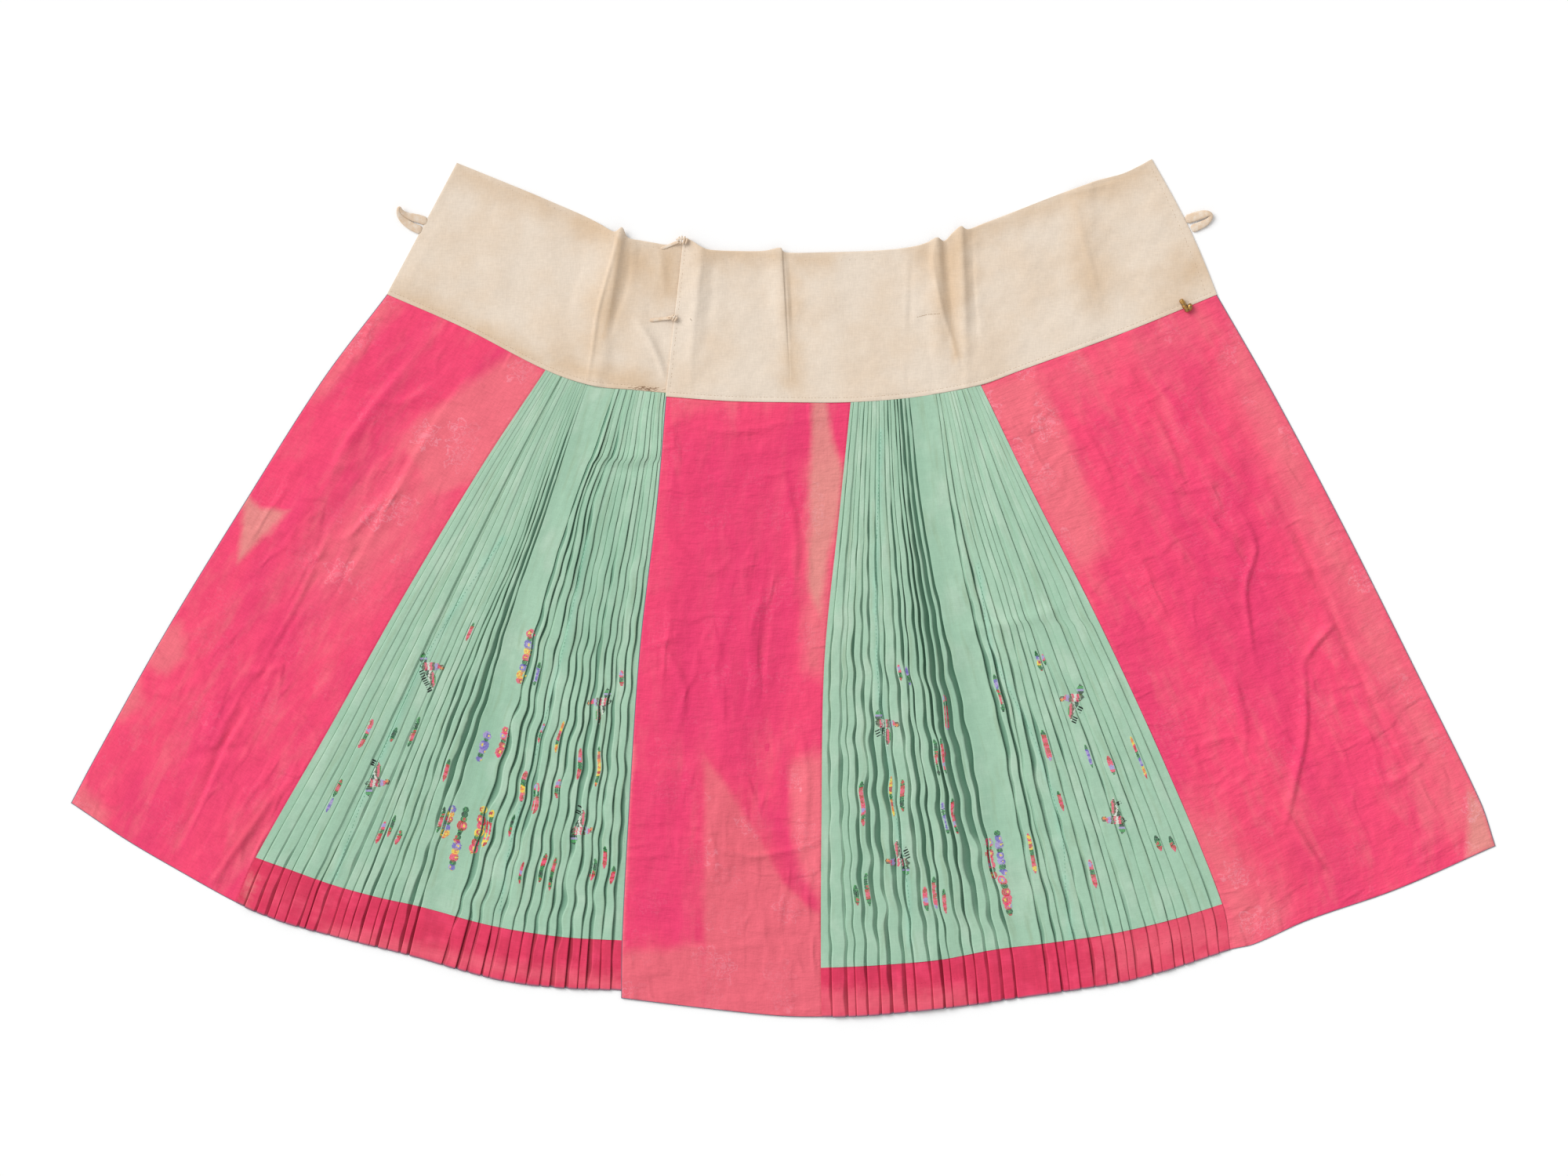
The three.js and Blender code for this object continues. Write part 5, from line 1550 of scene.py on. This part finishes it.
def pleated_cloth(name, gore, left, right, top, foot, start, end, base, rows, crest_top, wave):
    """A stretch of a pleated gore: knife pleats whose fold edges point away from the box pleat."""
    thickness = bpy.context.scene.skirt_sizes.pleat_cloth
    place = spread(left, right, top, foot, start, end)
    downs = np.linspace(start, end, rows)
    seams = [np.stack(place(downs, np.full(rows, share)), axis=-1) for share in (0.0, 1.0)]
    width = np.linalg.norm(seams[1] - seams[0], axis=1)
    box = smooth_through(DOWN, GORES[gore]["box"])(downs)
    folds = gore_folds(gore, place, downs, width, box, wave)
    if end == BORDER:
        FOLDS[gore] = (place, downs, folds[0], GORES[gore]["folds"][0])
    share, height, fold_shade = gore_section(gore, folds, downs, width, box, crest_top)
    down = np.repeat(downs[:, None], share.shape[1], axis=1)
    x, y = place(down, share)
    shown = np.clip(height / 2, 0, 1)
    lowest = base(x, y) + thickness / MM
    z = lowest + height + creased(x, y, CREASES.get(name, ())) * shown + 0.35 * rippled(x, y, 17, 46) * shown
    z = np.maximum(z, lowest + LIFT)
    facing = np.zeros(x.shape)
    if end == HEM:
        y = y - HEM_SCALLOP * (np.clip(height / crest_top, 0, 1) - HEM_EVEN) * smoothstep(down, BORDER, HEM)
        facing = 1 - smoothstep((end - down) * GORE_LENGTH, *HEM_FACING)
    section = np.hypot(np.diff(x[-1]), np.diff(z[-1]))
    flat_x = np.concatenate([[0], np.cumsum(section)])
    flat = np.stack([np.repeat(flat_x[None, :], rows, axis=0), -down * GORE_LENGTH], axis=-1)
    seam = np.zeros(x.shape)
    for line in LOOM_SEAMS[gore]:
        off, _ = line_at(x, y, line)
        if end == BORDER:
            seam = np.maximum(seam, np.exp(-np.abs(off) / SEAM_TINT))
        z = z + SEAM_RIDGE * np.exp(-((off / SEAM_WIDTH) ** 2)) * shown
    marks = {
        "fold_shade": fold_shade,
        "seam": seam,
        # Painted shade over the deep folds; lower down a darker green that is partly painted shade of the
        # denser folds and partly soil
        "hollow_shade_and_soil": np.maximum(covered(x, y, HOLLOW_SHADE.get(name, ())), 0.5 * smoothstep(down, 0.2, 0.75)),
        "salmon": covered(x, y, SALMON.get(name, ())),
        "pale": covered(x, y, PALE.get(name, ())),
        "facing": facing,
    }
    piece = cloth_grid(name + "_cloth", np.stack([x, y, z], axis=-1), marks, flat)
    thicken(piece, thickness, PLEAT_SMOOTH_ANGLE)
    widths = [np.hypot(np.hypot(np.diff(x[i]), np.diff(y[i])), np.diff(z[i])).sum() for i in (0, -1)]
    long = max(np.linalg.norm(np.diff(edge, axis=0), axis=1).sum() for edge in seams)
    return piece, cut_of(widths, long)


# Fold edges of each gore as made: places, shares of the way down, the edges, and how many lie on
# the left of the box pleat's face
FOLDS = {}

GORE_EDGES = {
    "left": ("left_seam", "tucked", "waist_left", "border_left", "hem_left", on_surface),
    "right": ("center_seam", "right_seam", "waist_right", "border_right", "hem_right", over_hidden_panel),
}


def make_pleats(prefix, start, end, rows, crest, wave, material):
    """Makes both gores or both hem borders."""
    for gore, (left, right, top, border, foot, base) in GORE_EDGES.items():
        upper, lower = (top, border) if end == BORDER else (border, foot)
        name = prefix + gore
        piece, cut = pleated_cloth(
            name, gore, left, right, upper, lower, start, end, base, rows, crest / MM, wave / MM
        )
        finish_piece(piece, material_for(material), name)
        lay(piece, cut)


class SKIRT_OT_gores(bpy.types.Operator):
    """Makes the two pleated green gores"""

    bl_idname = "skirt.gores"
    bl_label = "Pleated Gores"

    def execute(self, context):
        sizes = context.scene.skirt_sizes
        make_pleats("gore_", 0, BORDER, GORE_ROWS, sizes.crest, sizes.wave, "gore")
        return {"FINISHED"}


class SKIRT_OT_hem_borders(bpy.types.Operator):
    """Makes the two pink hem borders, pleated with the gores"""

    bl_idname = "skirt.hem_borders"
    bl_label = "Hem Borders"

    def execute(self, context):
        sizes = context.scene.skirt_sizes
        make_pleats("hem_", BORDER, HEM, HEM_ROWS, sizes.hem_crest, 0, "border")
        return {"FINISHED"}


# Waistbands


def band_place(rows, seam, bulge):
    """Places on a waistband between its top edge and the waist seam, with its lift."""
    knots = np.arange(len(rows))
    top = smooth_through(knots, [(*place, lift[0]) for place, _, lift in rows])
    foot = smooth_through(knots, [(foot, lift[1]) for _, foot, lift in rows])

    def place(along, down):
        above, below = top(along), foot(along)
        below_y = across[seam](below[..., 0]) + SEAM_GAP / 2
        x = mix(above[..., 0], below[..., 0], down)
        y = mix(above[..., 1], below_y, down)
        near_end = np.clip((along / knots[-1] - 0.92) / 0.08, 0, 1)
        x = x + bulge * near_end * np.sin(np.pi * down)
        return x, y, mix(above[..., 2], below[..., 1], down)

    return place


def waistband(name, rows, seam, base, bulge, seed):
    sizes = bpy.context.scene.skirt_sizes
    place = band_place(rows, seam, bulge)
    last = len(rows) - 1
    wide = abs(rows[-1][1] - rows[0][1])
    steps = np.linspace(0, last, last * POINTS_A_ROW + 1)
    alongs = np.unique(np.concatenate([steps, even_with_edges(2, wide) * last]))
    downs = even_with_edges(BAND_ROWS, BAND_DEPTH, BAND_EDGE_ROWS)
    down, along = np.meshgrid(downs, alongs, indexing="ij")
    x, y, lift = place(along, down)
    away = edge_distances(along / last, wide, down, BAND_DEPTH)
    rim = np.minimum(np.minimum(away["left"], away["right"]), away["foot"])
    held = smoothstep(rim, 0, 14)
    lift = lift * (1 - 0.45 * smoothstep(down, 0.35, 1))
    z = np.maximum(base(x), lift) + BAND_WALL + creased(x, y, CREASES[name]) * smoothstep(away["foot"], 0, 8)
    z += (sizes.ripple / MM) * (1.2 * rippled(x, y, seed, 90) + 0.45 * rippled(x, y, seed + 1, 30)) * held
    for off in away.values():
        turn = 1 - np.clip(off / BAND_EDGE[1], 0, 1)
        z -= BAND_EDGE[0] * (1 - np.sqrt(np.clip(1 - turn**2, 0, 1)))
    depth, groove, breadth = BAND_GROOVE
    z -= depth * np.exp(-(((away["foot"] - groove) / breadth) ** 2))
    z = np.maximum(z, np.maximum(base(x) + 0.1, 0) + sizes.band_cloth / MM)
    marks = {"stain_and_fold_shade": covered(x, y, STAINS_AND_FOLD_SHADE[name])}
    piece = cloth_grid(name + "_cloth", np.stack([x, y, z], axis=-1), marks)
    thicken(piece, sizes.band_cloth)
    widths = [np.hypot(np.diff(x[i]), np.diff(y[i])).sum() for i in (0, -1)]
    return piece, cut_of(widths, max(np.hypot(x[-1, i] - x[0, i], y[-1, i] - y[0, i]) for i in (0, -1)))


class SKIRT_OT_waistbands(bpy.types.Operator):
    """Makes the two folded cotton waistbands"""

    bl_idname = "skirt.waistbands"
    bl_label = "Waistbands"

    def execute(self, context):
        bands = [
            ("left", on_surface, 0, 61, []),
            ("right", on_left_band, BAND_END_BULGE, 71, ["waistband_left"]),
        ]
        for half, base, bulge, seed, under in bands:
            name = "waistband_" + half
            piece, cut = waistband(name, BANDS[half], "waist_" + half, base, bulge, seed)
            finish_piece(piece, material_for("cotton"), name)
            lay(piece, cut)
        return {"FINISHED"}


# Ties and button


class SKIRT_OT_tie_loops(bpy.types.Operator):
    """Makes the tape loops at the two ends of the waistband"""

    bl_idname = "skirt.tie_loops"
    bl_label = "Tie Loops"

    def execute(self, context):
        for name, loop in LOOPS.items():
            shape = tape(loop["path"], loop["width"], LOOP_THICKNESS, 6, 12)
            piece = mesh_piece(f"tie_loop_{name}_tape", *shape)
            outward(piece)
            finish_piece(piece, material_for("tape"), f"tie_loop_{name}")
        return {"FINISHED"}


class SKIRT_OT_tie_knots(bpy.types.Operator):
    """Makes the knotted ties on the edge of the overlap"""

    bl_idname = "skirt.tie_knots"
    bl_label = "Knotted Ties"

    def execute(self, context):
        for name, knot in KNOTS.items():
            shapes = [tape(knot["tail"], TAIL_WIDTH, TAIL_THICKNESS, 6)]
            for start, end in knot["folds"]:
                middle = tuple(mix(a, b, 0.5) + lift for a, b, lift in zip(start, end, (0, 0, 0.7)))
                shapes.append(tape([start, middle, end], FOLD_WIDTH, FOLD_THICKNESS, 5, 8))
            shapes.append(tape(knot["wrap"], FOLD_WIDTH, TAIL_THICKNESS, 6, 8))
            piece = mesh_piece(f"tie_knot_{name}_tape", *joined(shapes))
            outward(piece)
            finish_piece(piece, material_for("tape"), f"tie_knot_{name}")
        return {"FINISHED"}


class SKIRT_OT_button(bpy.types.Operator):
    """Makes the brass toggle button on the waist seam"""

    bl_idname = "skirt.button"
    bl_label = "Toggle Button"

    def execute(self, context):
        above, radius = UPPER_BAND, BUTTON["radius"]
        (ax, ay), (bx, by) = BUTTON["bar"]
        turn = (math.pi / 2, 0, math.atan2(by - ay, bx - ax) + math.pi / 2)

        def on_bar(share):
            return mix(ax, bx, share) * MM, mix(ay, by, share) * MM, (above + radius) * MM

        bpy.ops.object.select_all(action="DESELECT")
        bpy.ops.mesh.primitive_cylinder_add(
            vertices=20, radius=radius * MM, depth=(math.dist(*BUTTON["bar"]) + 2 * radius) * MM,
            location=on_bar(0.5), rotation=turn,
        )
        bar = context.active_object
        rounding = bar.modifiers.new("Rounding", "BEVEL")
        rounding.width = BUTTON["rounding"] * MM
        rounding.segments = 5
        rounding.limit_method = "ANGLE"
        bpy.ops.object.modifier_apply(modifier=rounding.name)
        bpy.ops.object.transform_apply(location=True, rotation=True, scale=True)
        x, y = BUTTON["ball"]
        radii = BUTTON["ball_radii"]
        bpy.ops.mesh.primitive_uv_sphere_add(
            segments=20, ring_count=12, radius=MM, location=(x * MM, y * MM, (above + radii[2]) * MM)
        )
        ball = context.active_object
        ball.scale = radii
        bpy.ops.object.transform_apply(location=True, rotation=True, scale=True)
        major, minor = BUTTON["collar"]
        bpy.ops.mesh.primitive_torus_add(
            major_radius=major * MM, minor_radius=minor * MM, major_segments=20, minor_segments=8,
            location=on_bar(BUTTON["collar_at"]), rotation=turn,
        )
        collar = context.active_object
        bpy.ops.object.transform_apply(location=True, rotation=True, scale=True)
        for piece in (bar, ball, collar):
            piece.select_set(True)
        context.view_layer.objects.active = bar
        bpy.ops.object.join()
        bar.name = "waist_button_brass"
        outward(bar)
        finish_piece(bar, material_for("brass"), "waist_button")
        return {"FINISHED"}


# Stitching and embroidery

STITCH_SINK = 0.15
STITCH_FACES = ((0, 1, 4), (2, 3, 5), (1, 2, 5, 4), (3, 0, 4, 5), (3, 2, 1, 0))


def stitch_piece(name, stitches, height_at, material, rise=0.42, steepest=0.55):
    """Small raised stitches that lie on a surface: each runs from one place to another, with a
    width and a colour. Where the cloth falls away under one, it is left out."""
    vertices, faces, dyes = [], [], []
    for (ax, ay), (bx, by), width, color in stitches:
        length = math.hypot(bx - ax, by - ay)
        az, bz = height_at(ax, ay), height_at(bx, by)
        if length < 0.3 or az is None or bz is None or abs(az - bz) > steepest * length:
            continue
        middle = height_at((ax + bx) / 2, (ay + by) / 2)
        if middle is None or abs(middle - (az + bz) / 2) > 0.5:
            continue
        sx, sy = -(by - ay) / length * width / 2, (bx - ax) / length * width / 2
        start = len(vertices)
        vertices += [
            (ax + sx, ay + sy, az - STITCH_SINK), (ax - sx, ay - sy, az - STITCH_SINK),
            (bx - sx, by - sy, bz - STITCH_SINK), (bx + sx, by + sy, bz - STITCH_SINK),
            (mix(ax, bx, 0.2), mix(ay, by, 0.2), mix(az, bz, 0.2) + rise),
            (mix(ax, bx, 0.8), mix(ay, by, 0.8), mix(az, bz, 0.8) + rise),
        ]
        faces += [tuple(start + i for i in face) for face in STITCH_FACES]
        dyes += [color] * 6
    piece = mesh_piece(name, vertices, faces)
    layer = piece.data.color_attributes.new("dye", "FLOAT_COLOR", "POINT")
    layer.data.foreach_set("color", np.array(dyes, np.float32).ravel())
    finish_piece(piece, material)


def distances_along(points):
    """How far each point of a line is from its start."""
    return np.concatenate([[0], np.cumsum(np.linalg.norm(np.diff(points, axis=0), axis=1))])


def running_stitch(points, kind, chance):
    """A row of running stitches along a line."""
    step, length, width, color = RUNNING[kind]
    points = np.asarray(points, float)
    along = distances_along(points)
    stitches = []
    for start in np.arange(0, along[-1] - length, step):
        start += chance.uniform(-0.25, 0.25) * step
        ends = [[np.interp(at, along, points[:, k]) for k in (0, 1)] for at in (start, start + length)]
        stitches.append((tuple(ends[0]), tuple(ends[1]), width, linear(color)))
    return stitches


class SKIRT_OT_stitching(bpy.types.Operator):
    """Sews the rows of stitches along the bands, borders and seams"""

    bl_idname = "skirt.stitching"
    bl_label = "Stitching"

    def execute(self, context):
        chance = np.random.default_rng(context.scene.skirt_stage.stitches)
        bands = surface_of(*(bpy.data.objects[f"waistband_{half}_cloth"] for half in BANDS))
        rows = []
        for seam, start, end in WAIST_SEAMS:
            x = np.linspace(start, end, 90)
            y = across[seam](x) + ABOVE_WAIST
            rows += running_stitch(np.stack([x, y], axis=1), "waist_seam", chance)
        x, y, _ = band_place(BANDS["left"], "waist_left", 0)(np.linspace(0.5, 15.5, 60), np.full(60, 0.03))
        rows += running_stitch(np.stack([x, y], axis=1), "band_top", chance)
        edge = band_place(BANDS["right"], "waist_right", BAND_END_BULGE)
        for along in BAND_ENDS:
            x, y, _ = edge(np.full(30, along), np.linspace(0.05, 0.95, 30))
            rows += running_stitch(np.stack([x, y], axis=1), "band_end", chance)
        rows += running_stitch(MEND, "mend", chance)
        rows += running_stitch(KNOT_END, "knot_end", chance)
        length = FRAYED["length"]
        for _ in range(FRAYED["count"]):
            x = chance.uniform(FRAYED["from"], FRAYED["to"])
            y = across["waist_left"](x) + chance.uniform(0.4, 4.5)
            turn = chance.uniform(-0.5, 0.5)
            tip = (x + length * math.cos(turn), y + length * math.sin(turn))
            rows.append(((x, y), tip, FRAYED["width"], linear(FRAYED["color"])))
        stitch_piece("band_stitching", rows, bands, material_for("sewing"), 0.25)

        for gore in GORES:
            ends = [ACROSS["border_" + gore][i][0] for i in (0, -1)]
            x = np.linspace(ends[0] + 2, ends[1] - 2, 200)
            y = across["border_" + gore](x)
            cloth = surface_of(bpy.data.objects[f"gore_{gore}_cloth"])
            rows = running_stitch(np.stack([x, y + ABOVE_BORDER], axis=1), "border_seam", chance)
            for line in LOOM_SEAMS[gore]:
                curve = smooth_through(np.arange(len(line)), line)(np.linspace(0, len(line) - 1, 60))
                rows += running_stitch(curve, "loom_seam", chance)
            stitch_piece(f"gore_stitching_{gore}", rows, cloth, material_for("sewing"), 0.3)
            hem = surface_of(bpy.data.objects[f"hem_{gore}_cloth"])
            rows = running_stitch(np.stack([x, y - BELOW_BORDER], axis=1), "border_facing", chance)
            stitch_piece(f"border_stitching_{gore}", rows, hem, material_for("sewing"), 0.25)
        return {"FINISHED"}


def pleat_face(gore, x, y):
    """The face that a place lies on: a way to places on it, from millimetres along the pleat and a
    share of its width, then the share that the place has and the face's width."""
    place, downs, edges, folds_left = FOLDS[gore]
    down, share = np.meshgrid(np.linspace(0, BORDER, 120), np.linspace(0, 1, 240), indexing="ij")
    grid_x, grid_y = place(down, share)
    row, column = np.unravel_index(np.argmin((grid_x - x) ** 2 + (grid_y - y) ** 2), grid_x.shape)
    start, across_gore = down[row, 0], share[0, column]
    at = [np.interp(start, downs, edge) for edge in edges]
    k = int(np.clip(np.searchsorted(at, across_gore), 1, len(at) - 1))
    fold, goal = (edges[k - 1], edges[k]) if k <= folds_left else (edges[k], edges[k - 1])

    def on_face(along, part):
        now = np.array([start + along / GORE_LENGTH])
        spot = place(now, mix(np.interp(now, downs, fold), np.interp(now, downs, goal), part))
        return float(spot[0][0]), float(spot[1][0])

    wide = math.dist(on_face(0, 0), on_face(0, 1))
    own = (across_gore - at[k - 1]) / (at[k] - at[k - 1])
    return on_face, own if k == folds_left else None, wide


def sprig_stitches(gore, x, y, length, main, chance):
    """A narrow slice of a flower spray, as much as shows between two folds: close satin stitches
    across the face of the pleat, in the rings of round flowers with leaves between them."""
    on_face, own, wide = pleat_face(gore, x, y)
    on_box = own is not None
    middle = own if on_box else chance.uniform(0.24, 0.42)
    half = BOX_SPRIG if on_box else min(chance.uniform(1.6, 3.4), 0.34 * wide)
    names = SPRAYS[main]
    stitches = []
    at, i = -length / 2, int(chance.integers(0, 3))
    while at < length / 2:
        outer, inner = names[i % len(names)]
        leaf = outer in ("green", "dark_green")
        radius = chance.uniform(2.6, 4.4) if leaf else chance.uniform(4.2, 6.6)
        lean = chance.uniform(-1.2, 1.2)
        aside = chance.uniform(-0.5, 0.5) * half
        for along in np.arange(-radius, radius, STITCH_PITCH):
            now = at + radius + along
            ends = min(1.0, 0.25 + (length / 2 - abs(now)) / 7)
            if ends <= 0.25:
                continue
            reach = half * ends * chance.uniform(0.85, 1.1)
            if on_box:
                reach = min(reach, math.sqrt(max(0.5, radius**2 - along**2)))
            cuts = np.linspace(-reach, reach, 6 if on_box else 4)
            spots = [on_face(now + lean * cut / half, middle + cut / wide) for cut in cuts]
            for a, b, cut in zip(spots, spots[1:], (cuts[1:] + cuts[:-1]) / 2):
                ring = math.hypot(along, cut - aside) / radius
                dye = inner if ring < 0.5 else outer
                if on_box and ring < 0.26 and not leaf:
                    dye = "yellow"
                elif leaf and ring > 0.8:
                    dye = "dark_green"
                stitches.append((a, b, STITCH_PITCH * 1.12, linear(THREADS[dye])))
        at += (1.5 if on_box else 2) * radius
        i += 1
    return stitches


def filled(outline, middle, bands, turned):
    """Rows of short stitches across an outline, with the thread changing away from its middle."""
    foot, top = min(y for _, y in outline), max(y for _, y in outline)
    stitches = []
    for i in range(int((top - foot) / STITCH_PITCH)):
        row = foot + (i + 0.5) * STITCH_PITCH
        cuts = sorted(
            ax + (row - ay) * (bx - ax) / (by - ay)
            for (ax, ay), (bx, by) in zip(outline, outline[1:] + outline[:1]) if (ay > row) != (by > row)
        )
        for start, end in zip(cuts[::2], cuts[1::2]):
            ends = np.linspace(start, end, max(1, round((end - start) / FILL_LENGTH)) + 1)
            for a, b in zip(ends, ends[1:]):
                off = math.dist(((a + b) / 2, row), middle)
                dye = next(name for reach, name in bands if off < reach)
                stitches.append((turned((a, row)), turned((b, row)), FILL_WIDTH, linear(THREADS[dye])))
    return stitches


def bird_stitches(x, y, way, rise):
    """A small flying bird: a raised wing with a fringe of feathers, a body, a head and a tail."""

    def turned(spot):
        return x + way * spot[0], y + rise * spot[1]

    stitches = []
    for outline, middle, bands in BIRD:
        stitches += filled(outline, middle, bands, turned)
    curve = smooth_through(np.arange(len(WING_EDGE)), WING_EDGE)
    for at in np.linspace(0, len(WING_EDGE) - 1, FEATHERS):
        root = curve(at)
        tip = turned(root + FEATHER_REACH)
        stitches.append((turned(root), tip, FEATHER_WIDTH, linear(THREADS["black"])))
    return stitches


class SKIRT_OT_embroidery(bpy.types.Operator):
    """Embroiders small birds and flower sprigs on the faces of the pleats"""

    bl_idname = "skirt.embroidery"
    bl_label = "Embroidery"

    def execute(self, context):
        chance = np.random.default_rng(context.scene.skirt_stage.stitches + 3)
        for gore in GORES:
            cloth = surface_of(bpy.data.objects[f"gore_{gore}_cloth"])
            stitches = []
            for x, y, way, rise in BIRDS[gore]:
                stitches += bird_stitches(x, y, way, rise)
            for x, y, length, main in SPRIGS[gore]:
                stitches += sprig_stitches(gore, x, y, length, main, chance)
            stitch_piece(f"embroidery_{gore}", stitches, cloth, material_for("thread"), 0.4, 1.6)
        return {"FINISHED"}


# Stage


class SKIRT_OT_stage(bpy.types.Operator):
    """Lays a plain pale surface, sets soft studio lights and looks straight down on the skirt"""

    bl_idname = "skirt.stage"
    bl_label = "Stage"

    def execute(self, context):
        stage = context.scene.skirt_stage
        bpy.ops.object.select_all(action="DESELECT")
        bpy.ops.mesh.primitive_plane_add(size=14, location=(0, 0, -0.0002))
        floor = context.active_object
        floor.name = "surface"
        floor.data.materials.append(paper(tuple(stage.floor)))
        world = bpy.data.worlds.new("studio")
        context.scene.world = world
        world.use_nodes = True
        background = next(node for node in world.node_tree.nodes if node.type == "BACKGROUND")
        background.inputs["Color"].default_value = (1, 1, 1, 1)
        background.inputs["Strength"].default_value = stage.sky
        bpy.ops.object.light_add(type="SUN", location=KEY_PLACE)
        light = context.active_object
        light.name = "key"
        light.data.energy = stage.key
        light.data.angle = math.radians(KEY_WIDTH)
        light.rotation_euler = Vector(KEY_PLACE).to_track_quat("Z", "Y").to_euler()
        bpy.ops.object.camera_add(location=(*CENTER, CAMERA_HEIGHT), rotation=(0, 0, 0))
        camera = context.active_object
        camera.data.sensor_width = SENSOR
        camera.data.lens = SENSOR * CAMERA_HEIGHT / FIELD
        camera.data.clip_end = 100
        context.scene.camera = camera
        context.scene.view_settings.view_transform = "Standard"
        context.scene.view_settings.look = "None"
        return {"FINISHED"}


class SKIRT_PT_pieces(bpy.types.Panel):
    """Lists the skirt's pieces and sizes"""

    bl_label = "Skirt"
    bl_idname = "SKIRT_PT_pieces"
    bl_space_type = "VIEW_3D"
    bl_region_type = "UI"
    bl_category = "Skirt"

    def draw(self, context):
        for operator in OPERATORS:
            self.layout.operator(operator.bl_idname)
        for group in (context.scene.skirt_sizes, context.scene.skirt_silk, context.scene.skirt_trim):
            for name in group.__annotations__:
                self.layout.prop(group, name)


OPERATORS = (
    SKIRT_OT_stage,
    SKIRT_OT_flat_panels,
    SKIRT_OT_gores,
    SKIRT_OT_hem_borders,
    SKIRT_OT_waistbands,
    SKIRT_OT_tie_loops,
    SKIRT_OT_tie_knots,
    SKIRT_OT_button,
    SKIRT_OT_stitching,
    SKIRT_OT_embroidery,
)
GROUPS = {
    "skirt_sizes": SkirtClothSizes,
    "skirt_silk": SkirtSilkColors,
    "skirt_trim": SkirtTrimColors,
    "skirt_stage": SkirtStage,
}


def register():
    for name, group in GROUPS.items():
        bpy.utils.register_class(group)
        setattr(bpy.types.Scene, name, PointerProperty(type=group))
    for cls in (*OPERATORS, SKIRT_PT_pieces):
        bpy.utils.register_class(cls)


def unregister():
    for cls in reversed((*OPERATORS, SKIRT_PT_pieces)):
        bpy.utils.unregister_class(cls)
    for name, group in GROUPS.items():
        delattr(bpy.types.Scene, name)
        bpy.utils.unregister_class(group)


def main():
    register()
    bpy.ops.skirt.stage()
    bpy.ops.skirt.flat_panels()
    bpy.ops.skirt.gores()
    bpy.ops.skirt.hem_borders()
    bpy.ops.skirt.waistbands()
    bpy.ops.skirt.tie_loops()
    bpy.ops.skirt.tie_knots()
    bpy.ops.skirt.button()
    bpy.ops.skirt.stitching()
    bpy.ops.skirt.embroidery()
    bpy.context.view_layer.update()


if __name__ == "__main__":
    main()
